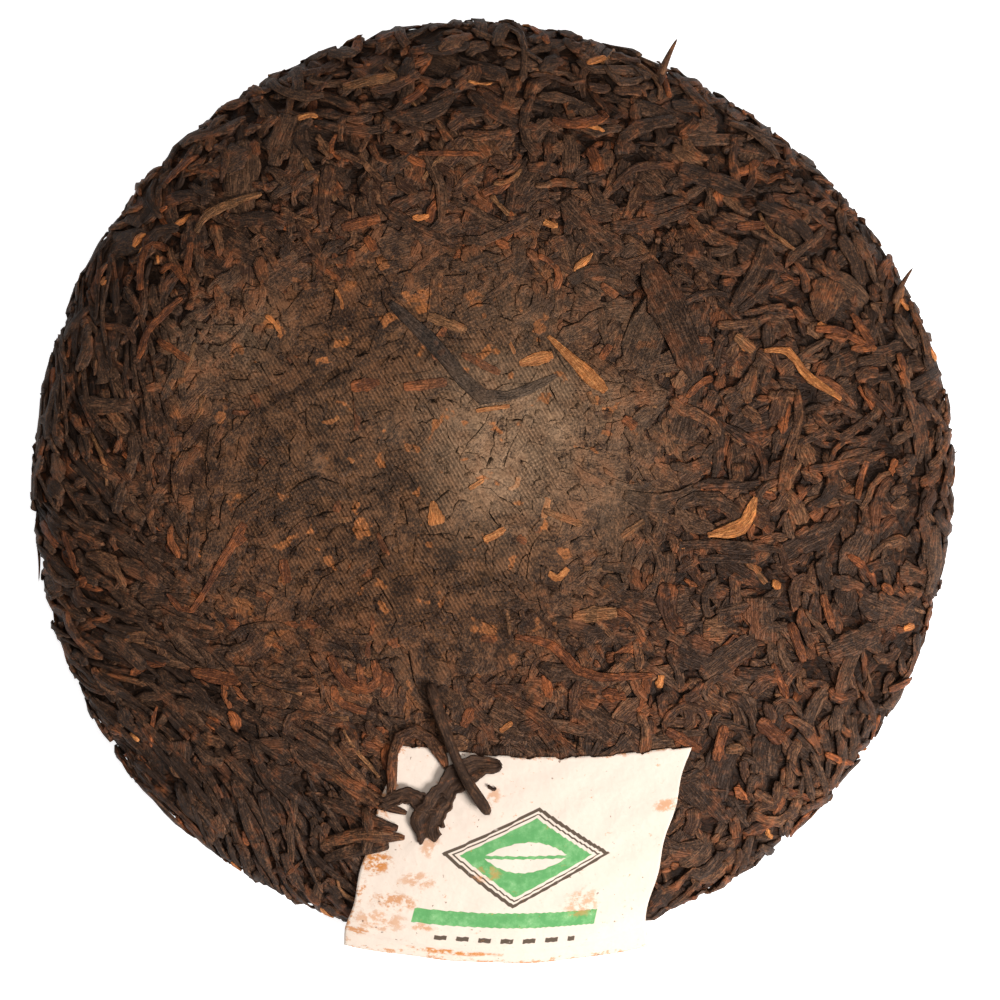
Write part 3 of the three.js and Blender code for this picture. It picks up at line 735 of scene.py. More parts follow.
def math_method(operation, swapped=False):
    """A method that adds a Math node for itself and another value."""

    def method(self, other):
        return self.math(operation, other, self) if swapped else self.math(operation, self, other)

    return method


class Value:
    """A shader value, whose operators add Math nodes."""

    def __init__(self, finish, socket):
        self.finish = finish
        self.socket = socket

    def math(self, operation, first, second=0):
        return self.finish.node("Math", {"operation": operation}, {0: first, 1: second})("Value")

    __add__ = math_method("ADD")
    __radd__ = math_method("ADD", swapped=True)
    __sub__ = math_method("SUBTRACT")
    __rsub__ = math_method("SUBTRACT", swapped=True)
    __mul__ = math_method("MULTIPLY")
    __rmul__ = math_method("MULTIPLY", swapped=True)
    __truediv__ = math_method("DIVIDE")
    lesser = math_method("MINIMUM")
    greater = math_method("MAXIMUM")

    def __abs__(self):
        return self.math("ABSOLUTE", self)

    def sine(self):
        return self.math("SINE", self)

    def step(self, low, high):
        """0 up to low, 1 from high on, and smooth between."""
        settings = {"interpolation_type": "SMOOTHSTEP"}
        sockets = {"Value": self, "From Min": low, "From Max": high}
        return self.finish.node("MapRange", settings, sockets)("Result")

    def near(self, middle, inner, outer):
        """1 within inner of the middle, 0 past outer, and smooth between."""
        return 1 - abs(self - middle).step(inner, outer)


class Finish:
    """A material under construction."""

    def __init__(self, name):
        self.material = bpy.data.materials.new(name)
        self.material.use_nodes = True
        self.tree = self.material.node_tree
        self.tree.nodes.clear()
        self.places = self.node("TexCoord", {}, {})("Object")

    def node(self, kind, settings, sockets):
        """Adds a node, sets it, then fills its sockets. What comes back gives its outputs by name."""
        made = self.tree.nodes.new("ShaderNode" + kind)
        for setting, value in settings.items():
            setattr(made, setting, value)
        for key, value in sockets.items():
            if isinstance(value, Value):
                self.tree.links.new(value.socket, made.inputs[key])
            elif isinstance(value, tuple) and len(value) == 3 and made.inputs[key].type == "RGBA":
                made.inputs[key].default_value = (*value, 1)
            else:
                made.inputs[key].default_value = value
        return lambda output: Value(self, made.outputs[output])

    def own_map(self):
        """The piece's own map: millimetres along it and across it."""
        return self.node("UVMap", {"uv_map": "grain"}, {})("UV")

    def noise(self, scale, detail=3, roughness=0.55, where=None):
        sockets = {"Vector": where or self.places, "Scale": scale, "Detail": detail, "Roughness": roughness}
        return self.node("TexNoise", {}, sockets)("Fac")

    def mix(self, first, second, share):
        """A colour between two, by a share."""
        share_socket, first_socket, second_socket, result_socket = 0, 6, 7, 2
        sockets = {share_socket: share, first_socket: first, second_socket: second}
        return self.node("Mix", {"data_type": "RGBA"}, sockets)(result_socket)

    def stretched(self, vector, scale):
        """The same coordinates stretched, for streaks."""
        return self.node("VectorMath", {"operation": "MULTIPLY"}, {0: vector, 1: scale})("Vector")

    def creases(self, grain, ridge_scale, streak_scale):
        """Ridges along a leaf, and finer streaks between them."""
        ridges = self.noise(1.0, 2, 0.5, self.stretched(grain, (*ridge_scale, 1)))
        streaks = self.noise(1.0, 3, 0.6, self.stretched(grain, (*streak_scale, 1)))
        return ridges, streaks

    def surface(self, color, roughness, height=None, depth=0.0, **constants):
        """Ends the material: its colour, roughness and relief, and what is the same all over."""
        sockets = {"Base Color": color, "Roughness": roughness}
        if height is not None:
            relief = {"Height": height, "Distance": depth, "Strength": 1.0}
            sockets["Normal"] = self.node("Bump", {}, relief)("Normal")
        sockets.update({key.replace("_", " "): value for key, value in constants.items()})
        shader = self.node("BsdfPrincipled", {}, sockets)("BSDF")
        self.node("OutputMaterial", {}, {"Surface": shader})
        return self.material


def paint(red, green, blue):
    """A colour as a screen shows it, from 0 to 255, in the renderer's linear values."""
    shown = [channel / 255 for channel in (red, green, blue)]
    return tuple(((c + 0.055) / 1.055) ** 2.4 if c > 0.04 else c / 12.92 for c in shown)


# Leaf colours: a near-black painted shade for creases, weave lines and deep gaps, dull, lit, and stained
PALETTES = {
    "dark": (paint(15, 8, 5), paint(55, 37, 26), paint(118, 83, 59), paint(130, 73, 42)),
    "slate": (paint(12, 9, 7), paint(42, 34, 29), paint(96, 80, 69), paint(66, 48, 37)),
    "brown": (paint(20, 11, 6), paint(70, 44, 30), paint(136, 93, 62), paint(144, 80, 45)),
    "rust": (paint(34, 17, 9), paint(96, 53, 31), paint(162, 96, 55), paint(172, 94, 50)),
    "golden": (paint(84, 46, 24), paint(174, 104, 54), paint(234, 160, 94), paint(220, 128, 64)),
    "stem": (paint(36, 24, 15), paint(112, 75, 47), paint(186, 128, 82), paint(160, 95, 54)),
}
# Dust, and a painted sheen of light on the pressed middle, in one pale grey-brown
DUST_AND_SHEEN = paint(184, 147, 114)
MOSAIC = (paint(42, 28, 19), paint(130, 89, 59))
FLECK = paint(204, 124, 68)

# Where dust and a painted sheen lie on the pressed face: a place, how far it spreads, and how thick it is
DUST_AND_SHEEN_SPOTS = [(4, 4, 24, 0.9), (9, 8, 46, 0.45), (-56, 25, 18, 0.42), (-34, 4, 26, 0.12)]
WEAVE_PITCH = 0.75
WEAVE_LEAN = 60


def weave_lines(finish, lean, pitch):
    """Fine lines left by the cloth, across the plan, as a value from 0 to 1."""
    turned = finish.node(
        "Mapping", {}, {"Vector": finish.places, "Rotation": (0, 0, math.radians(lean))}
    )("Vector")
    bands = {"Vector": turned, "Scale": math.pi / 10 / (pitch * MM), "Distortion": 1.2, "Detail": 1.0}
    bands["Detail Scale"] = 0.25
    return finish.node("TexWave", {"wave_type": "BANDS", "bands_direction": "X"}, bands)("Fac")


def distance_from(finish, x, y):
    """How far a place lies in plan from one point, in millimetres."""
    flat = finish.node("VectorMath", {"operation": "MULTIPLY_ADD"}, {
        0: finish.places, 1: (1, 1, 0), 2: (-x * MM, -y * MM, 0),
    })("Vector")
    return finish.node("VectorMath", {"operation": "LENGTH"}, {0: flat})("Value") / MM


def weave_imprint(finish, middle, flush):
    """Where the cloth's weave shows: mostly one way, crossed in places, and clear only in parts."""
    weave = weave_lines(finish, WEAVE_LEAN - 90, WEAVE_PITCH)
    cross = weave_lines(finish, WEAVE_LEAN, WEAVE_PITCH * 1.1) * finish.noise(38, 2).step(0.52, 0.6)
    clear = (finish.noise(60, 2) + middle * 0.14).step(0.46, 0.64)
    return (weave + cross * 0.6).lesser(1) * flush * clear


def dust_and_sheen_cover(finish, edge_noise, mottle, speckle):
    """How thick dust and a painted sheen lie: in a few spots with uneven edges, and patchy."""
    dust_and_sheen = 0
    for x, y, spread, amount in DUST_AND_SHEEN_SPOTS:
        dust_and_sheen = (1 - (distance_from(finish, x, y) + edge_noise * 0.5).step(2, spread)) * amount + dust_and_sheen
    patchiness = (finish.noise(70, 3, 0.6) - 0.5) * 2 + (mottle - 0.5) * 0.9 + (speckle - 0.5) * 1.5 + 0.52
    return dust_and_sheen * patchiness.greater(0)


def tea_surface(finish, palette, tone, rust, pressed, grain, gloss):
    """Pressed leaf: creases along it darkened as painted shade, stains, the weave that the cloth left with
    painted shade in its lines, dust and a painted sheen in the middle, and painted shade in deep gaps.
    """
    painted_shade_color, low, high, stain = PALETTES[palette]
    ridges, streaks = finish.creases(grain, (0.12, 1.1), (0.3, 2.2))
    patches = finish.noise(230, 3, 0.6)
    mottle = finish.noise(700, 3, 0.65)
    speckle = finish.noise(2400, 2, 0.7)
    grains = (mottle - 0.5) * 1.1 + (speckle - 0.5) * 1.9
    crease = ridges.near(0.5, 0, 0.055).greater(streaks.near(0.46, 0, 0.05) * 0.8)
    height_there = finish.node("SeparateXYZ", {}, {"Vector": finish.places})("Z") / MM
    face_up = height_there.step(0.8 * WAIST_HEIGHT, 1.5 * WAIST_HEIGHT)
    edge_noise = 24 * (finish.noise(45, 2) - 0.5)
    middle = (1 - (distance_from(finish, -FLUSH_ASIDE, 0) + edge_noise).step(28, 64)) * face_up
    flush = middle * pressed.step(0.15, 0.6)

    # The leaf's own colour and its stains
    shade = tone * (0.55 - 0.2 * flush) + (ridges - 0.5) * 0.6 + (streaks - 0.5) * 0.4 + grains
    mixed = 0.8 if palette in ("dark", "slate") else 1.1
    color = finish.mix(low, high, (shade + (patches - 0.5) * mixed + 0.1).step(0.05, 1.05))
    stained = (patches * 1.2 + rust * 0.22 + (mottle - 0.5) * 0.8).step(0.66, 0.92)
    color = finish.mix(color, stain, stained * (0.7 * mixed - 0.05))

    # Leaf worn and crumbled by the press, flecked with rust
    worn = finish.mix(*MOSAIC, ((patches - 0.5) * 1.9 + grains + 0.47).step(0, 1))
    fleck = (finish.noise(190, 2.5, 0.55) + (mottle - 0.5) * 0.12).step(0.63, 0.675)
    worn = finish.mix(worn, FLECK, fleck * (0.7 + (speckle - 0.5) * 2 + (mottle - 0.5)))
    share = 0.85 if palette in ("dark", "brown") else 0.35
    color = finish.mix(color, worn, flush * share)
    # Painted shade: the creases are darkened towards the near-black crease colour, less where the leaf is
    # pressed flush
    color = finish.mix(color, painted_shade_color, crease * (0.6 - 0.48 * flush))

    # Dust and a painted sheen: the pale grey-brown over the pressed middle is partly real dust and partly
    # stands in for a sheen of light there
    dust_and_sheen = dust_and_sheen_cover(finish, edge_noise, mottle, speckle) * face_up * pressed.step(0.1, 0.7)
    color = finish.mix(color, DUST_AND_SHEEN, (dust_and_sheen * (1 - 0.8 * fleck)).lesser(1) * 0.75)
    imprint = weave_imprint(finish, middle, flush)
    # Painted shade in the weave's lines: they are darkened in colour as well as pressed in by the bump
    color = finish.mix(color, painted_shade_color, imprint * 0.5)
    # Painted shade in deep gaps: leaf that lies low under the pressed level is darkened towards the crease
    # colour, less in the middle
    deep = 1 - pressed.step(0.02, 0.5)
    color = finish.mix(color, painted_shade_color, deep * (0.6 - 0.45 * middle))

    height = ridges * 0.7 + streaks * 0.25 + patches * 1.2 + mottle * 0.5 + speckle * 0.25 - crease * 0.25
    height = height * (1 - 0.6 * flush) - imprint * 0.35
    roughness = 0.62 + (speckle - 0.5) * 0.3
    return finish.surface(color, roughness, height, 0.00045, Specular_IOR_Level=gloss)


def leaf_finish(name, palette, gloss=0.2):
    finish = Finish(name)
    facts = finish.node("Attribute", {"attribute_name": "leaf"}, {})("Vector")
    split = finish.node("SeparateXYZ", {}, {"Vector": facts})
    return tea_surface(finish, palette, split("X"), split("Y"), split("Z"), finish.own_map(), gloss)


def core_finish():
    """The pressed bulk: crumbs between the leaves, with dust and a painted sheen in the middle, and darkened
    away from the middle as painted shade in the gaps.
    """
    finish = Finish("pressed bulk")
    grain = finish.stretched(finish.places, (1 / MM, 0.4 / MM, 0.4 / MM))
    tone = finish.noise(300, 3, 0.6)
    middle = 1 - distance_from(finish, -FLUSH_ASIDE, 0).step(36, 66)
    # The middle share stands in for the pressed share, so the bulk away from the middle gets the painted
    # shade of deep gaps
    return tea_surface(finish, "dark", tone * middle, 0.3, middle, grain, 0.1)


def loose_finish(name, palette, tone):
    """Leaf or stalk that lies on top, not pressed: creases along it darkened as painted shade, and no weave
    or dust.
    """
    finish = Finish(name)
    painted_shade_color, low, high, stain = PALETTES[palette]
    ridges, streaks = finish.creases(finish.own_map(), (0.15, 1.3), (0.4, 3.2))
    mottle = finish.noise(600, 3, 0.65)
    speckle = finish.noise(2200, 2, 0.7)
    shade = (ridges - 0.5) * 0.9 + (streaks - 0.5) * 0.5 + (mottle - 0.5) * 1.1 + (speckle - 0.5) + tone
    color = finish.mix(low, high, shade.step(0, 1))
    color = finish.mix(color, stain, mottle.step(0.58, 0.72) * 0.4)
    crease = ridges.near(0.5, 0, 0.04)
    # Painted shade: the creases are darkened towards the near-black crease colour
    color = finish.mix(color, painted_shade_color, crease * 0.5)
    height = ridges * 0.8 + streaks * 0.3 + mottle * 0.6 + finish.noise(260, 2) * 1.2 - crease * 0.2
    return finish.surface(color, 0.7 + (speckle - 0.5) * 0.2, height, 0.0003, Specular_IOR_Level=0.2)


# Stains on the ticket: how far across and down they lie, how wide and high they are, and how strong
TICKET_STAINS = [
    (2.5, 24.5, 4, 3.4, 1),
    (1.5, 12, 2.4, 4, 0.8),
    (8, 32, 6, 2.4, 0.8),
    (58.5, 12, 3.6, 1.8, 0.7),
    (46, 31, 4.5, 3.5, 0.6),
    (22, 43, 12, 1.2, 1),
    (2, 40, 4, 1.8, 0.9),
    (25, 24.5, 3.4, 2, 0.6),
    (12, 19, 2, 4, 0.6),
    (15, 36.6, 3, 1, 0.7),
    (12, 27, 5, 2, 0.6),
    (22, 9, 1.6, 3, 0.6),
    (6, 36.5, 7, 3, 0.6),
]


# What is printed on the ticket, in millimetres across it and down. A bar has a middle each way, and the
# distances from it where the ink starts and ends to fade.
LOZENGE_MIDDLE = (32, 21)
LOZENGE_REACH = (17, 10.5)
PRINTED_LEAF_HALF_WIDTH = 3.2
PRINTED_LEAF_NARROWING = 0.042
BAND_ACROSS, BAND_DOWN = (31, 18.4, 18.6), (34.2, 1.5, 1.62)
RULE_ACROSS, RULE_DOWN = (31, 15, 15.2), (38.6, 0.45, 0.6)
DASH_TURN = 1.4


def ticket_print(across, down):
    """Plain shapes printed on the ticket: where it is green, and where it is dark."""
    aside, from_midrib = across - LOZENGE_MIDDLE[0], abs(down - LOZENGE_MIDDLE[1])
    lozenge = abs(aside) / LOZENGE_REACH[0] + from_midrib / LOZENGE_REACH[1]
    half_width = PRINTED_LEAF_HALF_WIDTH - aside * aside * PRINTED_LEAF_NARROWING
    leaf = 1 - (from_midrib - half_width).step(-0.1, 0.1)
    midrib = 1 - from_midrib.step(0.28, 0.4)
    field = 1 - lozenge.step(0.78, 0.8)
    band = across.near(*BAND_ACROSS) * down.near(*BAND_DOWN)
    dashes = (across * DASH_TURN).sine().step(-0.3, -0.1)
    rule = across.near(*RULE_ACROSS) * down.near(*RULE_DOWN) * dashes
    rims = lozenge.near(0.97, 0.03, 0.045).greater(lozenge.near(0.87, 0.012, 0.022))
    return (field * (1 - leaf * (1 - midrib))).greater(band), rims.greater(rule)


def ticket_stains(finish, across, down):
    """Where tea has stained the ticket: blots along its edges and in chosen places."""
    near_edge = 1 - across.lesser(down * 3).lesser(TICKET_LENGTH - down).step(0, 3)
    blot = finish.noise(620, 4, 0.75, finish.stretched(finish.places, (0.8, 1, 1)))
    stained = (blot + near_edge * 0.14).step(0.62, 0.74) * 0.8
    for middle, drop, width, height, strength in TICKET_STAINS:
        over = (across - middle) / width
        below = (down - drop) / height
        spot = 1 - (over * over + below * below).step(0.1, 1.4)
        stained = stained.greater((blot + spot * 0.16 - 0.08).step(0.48, 0.64) * spot * strength)
    return stained


def paper_finish():
    """Cream paper, stained by the tea, with plain green and dark shapes printed on it."""
    finish = Finish("ticket paper")
    split = finish.node("SeparateXYZ", {}, {"Vector": finish.own_map()})
    across, down = split("X"), split("Y")
    fibre = finish.noise(1200, 3, 0.6)
    worn = finish.noise(420, 4, 0.7)
    green_ink, dark_ink = ticket_print(across, down)
    cream = finish.mix(paint(221, 202, 185), paint(228, 210, 195), fibre)
    green = finish.mix(paint(94, 156, 94), paint(130, 182, 122), worn.step(0.4, 0.75))
    color = finish.mix(cream, green, green_ink * (1 - worn.step(0.66, 0.78) * 0.7))
    color = finish.mix(color, paint(88, 74, 62), dark_ink * (1 - worn.step(0.62, 0.78) * 0.6))
    color = finish.mix(color, paint(198, 128, 68), ticket_stains(finish, across, down))
    spots = finish.noise(900, 2, 0.5).step(0.72, 0.76)
    color = finish.mix(color, paint(110, 70, 42), spots * 0.7)
    relief = finish.noise(240, 3, 0.5) + fibre * 0.1
    return finish.surface(color, 0.9, relief, 0.0004, Specular_IOR_Level=0.2)


def add_sheet(work, columns, rows, place_of, uv_of):
    """Adds a grid to a bmesh and puts it in place by a function of the shares across and down."""
    made = bmesh.ops.create_grid(work, x_segments=columns, y_segments=rows, size=0.5)["verts"]
    across = np.array([v.co.x + 0.5 for v in made])
    down = np.array([0.5 - v.co.y for v in made])
    layer = work.loops.layers.uv.get("grain") or work.loops.layers.uv.new("grain")
    flat = dict(zip(made, uv_of(across, down)))
    for face in {face for vert in made for face in vert.link_faces}:
        face.smooth = True
        for loop in face.loops:
            loop[layer].uv = flat[loop.vert]
    for vert, place in zip(made, place_of(across, down) * MM):
        vert.co = place


def close_tubes(work):
    """Shuts sheets that were rolled into tubes, and turns their faces outwards."""
    bmesh.ops.remove_doubles(work, verts=work.verts[:], dist=0.004 * MM)
    bmesh.ops.recalc_face_normals(work, faces=work.faces[:])


def object_from(name, work, material):
    """The object made of a bmesh."""
    mesh = bpy.data.meshes.new(name)
    work.to_mesh(mesh)
    work.free()
    mesh.materials.append(material)
    made = bpy.data.objects.new(name, mesh)
    bpy.context.scene.collection.objects.link(made)
    return made


def finished(name, work, material, slot, *nodes):
    """The piece made of a bmesh, with its material, hung from the root, and with the nodes that it stands for
    hidden; the slot is not used.
    """
    piece = object_from(name, work, material)
    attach(piece, "root")
    if nodes:
        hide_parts(*nodes)
    return piece


def give_wall(piece, thickness):
    """Thickens a sheet downwards from its upper side."""
    wall = piece.modifiers.new("thickness", "SOLIDIFY")
    wall.thickness = thickness * MM
    wall.offset = -1


def ticket_places(across, down, lift):
    """Where the ticket's paper lies: down the face in its leaning direction, then hanging free."""
    start_x = TICKET_LEFT + TICKET_WIDTH * across
    start_y = TICKET_TOP - TICKET_TOP_SAG * np.sin(np.pi * across)
    lean = math.hypot(TICKET_LEAN, 1)
    run_x, run_y = TICKET_LEAN / lean, -1 / lean
    back = start_x * run_x + start_y * run_y
    start_reach = start_x**2 + start_y**2

    def plan_at(radius):
        distance = np.sqrt(np.maximum(0, back**2 - start_reach + radius**2)) - back
        return start_x + run_x * distance, start_y + run_y * distance

    rise = FACE.along <= FACE.waist
    along = np.interp(np.sqrt(start_reach), FACE.radius[rise], FACE.along[rise])
    left = down * TICKET_LENGTH
    radius, height, _, _ = FACE.section(along)
    here = plan_at(radius)
    while np.any((left > 0) & (along < FACE.waist)):
        moving = (left > 0) & (along < FACE.waist)
        onwards = np.where(moving, np.minimum(along + TICKET_STEP, FACE.waist), along)
        next_radius, next_height, _, _ = FACE.section(onwards)
        there = plan_at(next_radius)
        step = np.sqrt((there[0] - here[0]) ** 2 + (there[1] - here[1]) ** 2 + (next_height - height) ** 2)
        left = np.where(moving, left - step, left)
        along, radius, height, here = onwards, next_radius, next_height, there
    out_x, out_y = here[0] / radius, here[1] / radius
    free = smooth_step(along, TICKET_STUCK_SHARE * FACE.waist, FACE.waist)
    place = FACE.point(along * out_x, along * out_y, lift + TICKET_STAND_OFF * free)
    hang = np.maximum(0, left)
    aside = hang * math.sin(math.radians(TICKET_FLARE))
    fall = -hang * math.cos(math.radians(TICKET_FLARE))
    return place + np.stack([out_x * aside, out_y * aside, fall], axis=-1)


def make_ticket():
    def place_of(across, down):
        ragged = 0.25 * np.sin(across * 47) + 0.15 * np.sin(across * 113 + 1)
        side_wave = 0.3 * np.sin(down * 21 + 2) * (2 * across - 1) ** 9 / TICKET_WIDTH
        lift = GAP + ticket_ripple(across, down) + TICKET_SOLID
        lift = lift + 0.1 * np.sin(23 * across + 9 * down) * np.sin(17 * down)
        drop = np.maximum(0, down + ragged * np.exp(-down * 60) / TICKET_LENGTH)
        return ticket_places(across + side_wave, drop, lift)

    def uv_of(across, down):
        return np.stack([across * TICKET_WIDTH, down * TICKET_LENGTH], axis=-1)

    work = bmesh.new()
    add_sheet(work, 110, 90, place_of, uv_of)
    ticket = finished("ticket", work, paper_finish(), "paper", "paper_ticket")
    give_wall(ticket, PAPER)


def make_loose_leaf():
    """The crumpled leaf of two blades that lies over the ticket."""

    def add_blade(points, widths, seed):
        spread = FACE.spread(points)

        def place_of(across, down):
            x, y, heading, length = smooth_path(spread, down)
            side = (across - 0.5) * widths_at(widths, down)
            side = side * (1 + 0.09 * np.sin(31 * down + seed) + 0.06 * np.sin(67 * down + 3 * across))
            side = side * (1 - (1 - down) ** 14) ** 0.5
            along = 0.6 * np.sin(10 * across + seed) * np.maximum(0, 2 * down - 1) ** 6
            x = x - np.sin(heading) * side + np.cos(heading) * along
            y = y + np.cos(heading) * side + np.sin(heading) * along
            crease = LEAF_CREASE * np.sin(7 * down + 4 * (1 - across))
            crumple = 0.16 * np.sin(23 * down + 7 * across + seed) * np.cos(11 * across - 5 * down)
            rolled = 0.35 * np.abs(2 * across - 1) ** 3 + 0.14 * np.cos(16 * across + 3 * down)
            return FACE.point(x, y, LEAF_STAND + LEAF_THICKNESS + crease + crumple + rolled)

        def uv_of(across, down):
            return np.stack([down * 22, across * 6 + seed * 10], axis=-1)

        add_sheet(work, 14, 46, place_of, uv_of)

    work = bmesh.new()
    add_blade(LEAF_BLADE, LEAF_BLADE_WIDTHS, 1)
    add_blade(LEAF_ARM, LEAF_ARM_WIDTHS, 2)
    for face in work.faces:
        if face.normal.z < 0:
            face.normal_flip()
    material = loose_finish("loose leaf", "dark", 0.16)
    leaf = finished("loose_leaf", work, material, "loose_leaf", "leaf_over_ticket")
    give_wall(leaf, LEAF_WALL)


def round_of(share, ribs, twist):
    """The turn round a stalk and how far its ribbed side stands out there, as a share of its radius."""
    turn = 2 * np.pi * share
    return turn, 1 + 0.05 * np.cos(ribs * turn + twist) + 0.06 * np.cos(2 * turn + 1.7 * twist)


def make_stalks():
    """The ribbed stalk across the ticket, and the stalk ends that stick out past the rim."""
    spread = FACE.spread(STALK_LINE)

    def place_of(across, down):
        x, y, heading, _ = smooth_path(spread, down)
        turn, ribbed = round_of(across, 5, 3 * down)
        fullness = (1 - np.abs(2 * down - 1) ** 16) ** 0.5 * (0.96 + 0.06 * np.sin(9 * down))
        radius = STALK_WIDTH / 2 * fullness * ribbed
        side = np.cos(turn) * radius + 0.2 * np.sin(8 * down)
        lift = STALK_STAND - STALK_DIP * (1 - down) ** 3 + np.sin(turn) * radius
        return FACE.point(x - np.sin(heading) * side, y + np.cos(heading) * side, lift)

    def uv_of(across, down):
        return np.stack([down * 28, across * 7], axis=-1)

    work = bmesh.new()
    add_sheet(work, 20, 60, place_of, uv_of)
    close_tubes(work)
    material = loose_finish("loose stalk", "dark", 0.2)
    finished("loose_stalk", work, material, "loose_stalk", "stalk_over_ticket")

    work = bmesh.new()
    for bearing, reach, height, length, width, lean in RIM_STALKS:
        def end_place(across, down):
            out = math.radians(bearing)
            ahead = math.radians(bearing + lean)
            turn, ribbed = round_of(across, 4, 2 * down)
            rounded = (1 - down**24) * (1 - (1 - down) ** 24)
            radius = blend(width / 2, 0.15 * width, down**1.5) * ribbed * rounded
            back = length * (1 - down)
            side = np.cos(turn) * radius + 0.35 * np.sin(3 * down)
            x = reach * math.cos(out) - back * math.cos(ahead) - math.sin(ahead) * side
            y = reach * math.sin(out) - back * math.sin(ahead) + math.cos(ahead) * side
            return np.stack([x, y, height + np.sin(turn) * radius], axis=-1)

        add_sheet(work, 14, 24, end_place, uv_of)
    close_tubes(work)
    finished("rim_stalks", work, loose_finish("rim stalk", "brown", 0.4), "tea")


# Height of the fine crumb that fills the gaps in the middle of the face
PASTE_LIFT = 0.13


def make_core(face_press, under_press):
    """The bulk under the leaf: a disc spread over the whole skin, then put on it."""
    work = bmesh.new()
    steps = 190
    spokes = 300
    around = {"cent": (0, 0, 0), "axis": (0, 0, 1), "angle": 2 * math.pi}
    line = [work.verts.new((FACE.end * i / steps, 0, 0)) for i in range(steps + 1)]
    edges = [work.edges.new(pair) for pair in zip(line, line[1:])]
    bmesh.ops.spin(work, geom=line + edges, steps=spokes, use_merge=True, **around)
    x, y = np.array([v.co.xy for v in work.verts]).T
    along = np.hypot(x, y)
    bumps = 0.35 * np.sin(x * 1.3 + 2 * np.sin(y * 0.7)) * np.sin(y * 1.1 + 2 * np.cos(x * 0.6))
    face_lift, _ = face_press.lift(x, y, bumps)
    shrink = (FACE.end - along) / np.maximum(along, 1e-9)
    under_lift, _ = under_press.lift(-x * shrink, y * shrink, bumps)
    share = smooth_step(along, FACE.waist - 2, FACE.waist + 10)
    lift = np.maximum(blend(face_lift, under_lift, share) - 0.1, bumps - 0.8)
    paste = PASTE_LIFT + 0.06 * bumps / 0.35
    off_flush = smooth_step(np.hypot(x + FLUSH_ASIDE, y) / FACE.waist, 0.3, 0.7)
    lift = np.maximum(lift, blend(paste, lift, off_flush))
    place = FACE.point(x, y, lift)
    place[:, 2] = np.maximum(place[:, 2], 0.05)
    for vert, co in zip(work.verts, place * MM):
        vert.co = co
    bmesh.ops.remove_doubles(work, verts=work.verts[:], dist=0.02 * MM)
    bmesh.ops.recalc_face_normals(work, faces=work.faces[:])
    for face in work.faces:
        face.smooth = True
    finished("core", work, core_finish(), "tea", "tea_cake")


def make_leaves():
    """Scatters and presses the leaf of both faces, and covers the core with it."""
    rng = np.random.default_rng(SEED)
    mess = np.random.default_rng(SEED + 1)
    pile, batches = scatter(FACE, FACE_KINDS, FACE.waist + 9, 3, rng)
    notable_batches = placed_leaves("notable", NOTABLE_LEAVES, pile, rng)
    under_pile, under_batches = scatter(UNDER, UNDER_KINDS, UNDER.waist - 2, 2, rng)
    face_press = Press(pile, FACE)
    under_press = Press(under_pile, UNDER)
    edge_batches = placed_leaves("edge", EDGE_LEAVES, Pile(pile.reach), rng)

    def face_lift(x, y, height):
        lift, pressed = face_press.lift(x, y, height)
        held = under_ticket(*FACE.plan(x, y))
        return np.where(held > 0, blend(lift, np.minimum(lift, 0.1 + 0.05 * lift), held), lift), pressed

    def notable_lift(x, y, height):
        lift, pressed = face_lift(x, y, height)
        return lift + 0.12, np.minimum(0.75 * pressed, 0.33)

    def edge_lift(x, y, height):
        return over_ticket_lift(x, y) + height, np.full(x.shape, 0.6)

    finishes = {palette: leaf_finish("pressed " + palette + " leaf", palette) for palette in PALETTES}
    laid = [
        (batches, FACE, face_lift),
        (notable_batches, FACE, notable_lift),
        (under_batches, UNDER, under_press.lift),
        (edge_batches, FACE, edge_lift),
    ]
    for several, skin, lift_of in laid:
        for leaves in several:
            piece = leaf_piece(leaves, skin, lift_of, mess)
            piece.data.materials.append(finishes[leaves.palette])
            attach(piece, "root")
    make_core(face_press, under_press)


# The camera: where it aims, how far off it is in millimetres, how high in degrees, and its lens
CAMERA_AIM = (1.986, -5.457, 10.0)
CAMERA_DISTANCE = 750
CAMERA_ELEVATION = 81
CAMERA_LENS = 128.0

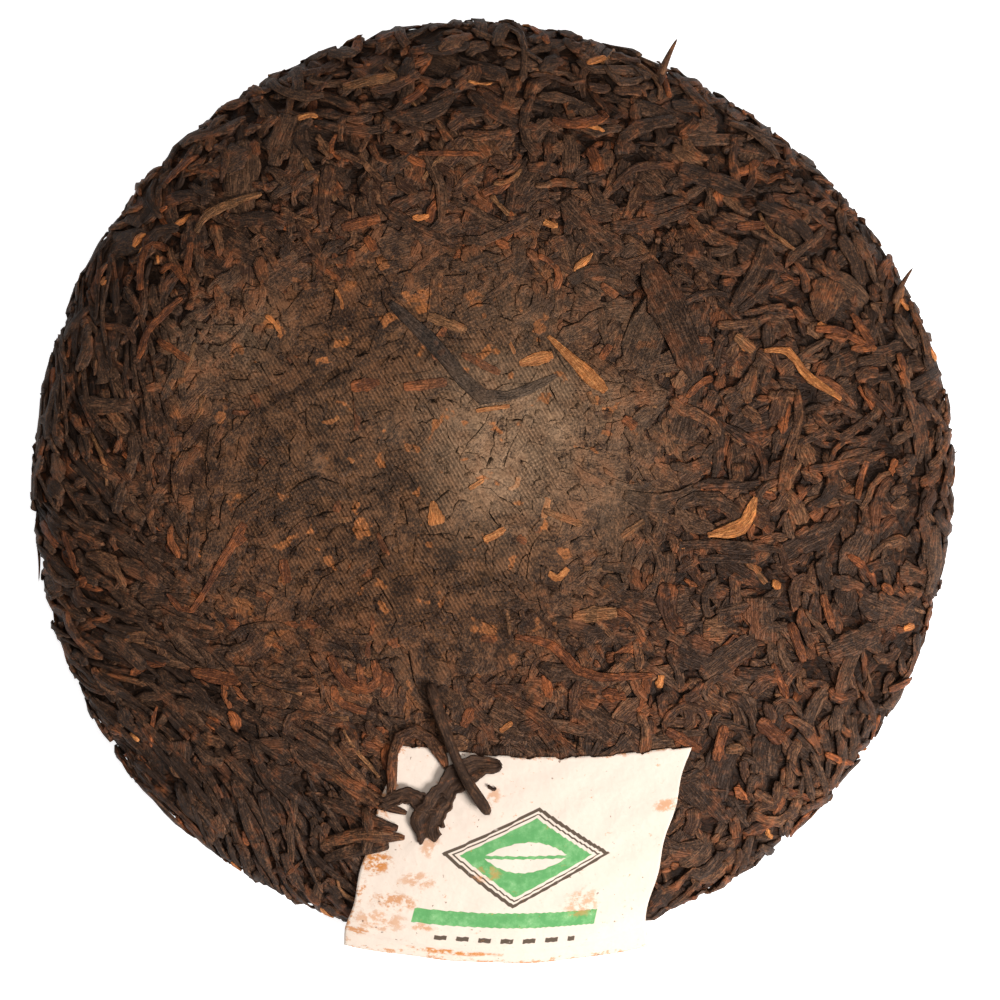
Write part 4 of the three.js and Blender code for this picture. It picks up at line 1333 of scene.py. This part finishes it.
# The studio in metres: each light's place, width and power, and where they all aim
LIGHTS = {"key": ((0.36, -0.34, 0.46), 0.26, 5.4), "fill": ((0.1, 0, 0.98), 0.5, 3.3)}
LIGHT_AIM = (0, 0, 0.02)
SKY_STRENGTH = 0.08
FLOOR_SIZE = 3

# The pale floor glows a little, like a light table, so that no shadow shows on it
FLOOR_GLOW = 0.85


def make_floor():
    work = bmesh.new()
    bmesh.ops.create_grid(work, x_segments=1, y_segments=1, size=FLOOR_SIZE)
    finish = Finish("floor")
    color = finish.mix((0.8, 0.8, 0.8), (0.84, 0.84, 0.84), finish.noise(3, 2))
    glow = {"Emission_Color": (1.0, 1.0, 1.0, 1.0), "Emission_Strength": FLOOR_GLOW}
    material = finish.surface(color, 0.9, Specular_IOR_Level=0.1, **glow)
    object_from("floor", work, material)


def make_lights():
    world = bpy.data.worlds.new("studio")
    world.use_nodes = True
    sky = world.node_tree.nodes["Background"].inputs
    sky["Color"].default_value = (1, 1, 1, 1)
    sky["Strength"].default_value = SKY_STRENGTH
    bpy.context.scene.world = world
    for name, (place, width, power) in LIGHTS.items():
        light = bpy.data.lights.new(name, "AREA")
        light.shape = "DISK"
        light.size = width
        light.energy = power
        lamp = bpy.data.objects.new(name, light)
        lamp.location = place
        lamp.rotation_euler = (Vector(LIGHT_AIM) - Vector(place)).to_track_quat("-Z", "Y").to_euler()
        bpy.context.scene.collection.objects.link(lamp)


def make_camera():
    scene = bpy.context.scene
    scene.view_settings.view_transform = "Standard"
    camera = bpy.data.objects.new("camera", bpy.data.cameras.new("camera"))
    camera.data.lens = CAMERA_LENS
    camera.data.sensor_width = 36
    camera.data.clip_start = 0.01
    lean = math.radians(CAMERA_ELEVATION)
    back = Vector((0, -math.cos(lean), math.sin(lean)))
    camera.location = (Vector(CAMERA_AIM) + back * CAMERA_DISTANCE) * MM
    camera.rotation_euler = (math.pi / 2 - lean, 0, 0)
    scene.collection.objects.link(camera)
    scene.camera = camera


make_leaves()
make_ticket()
make_loose_leaf()
make_stalks()
make_floor()
make_lights()
make_camera()
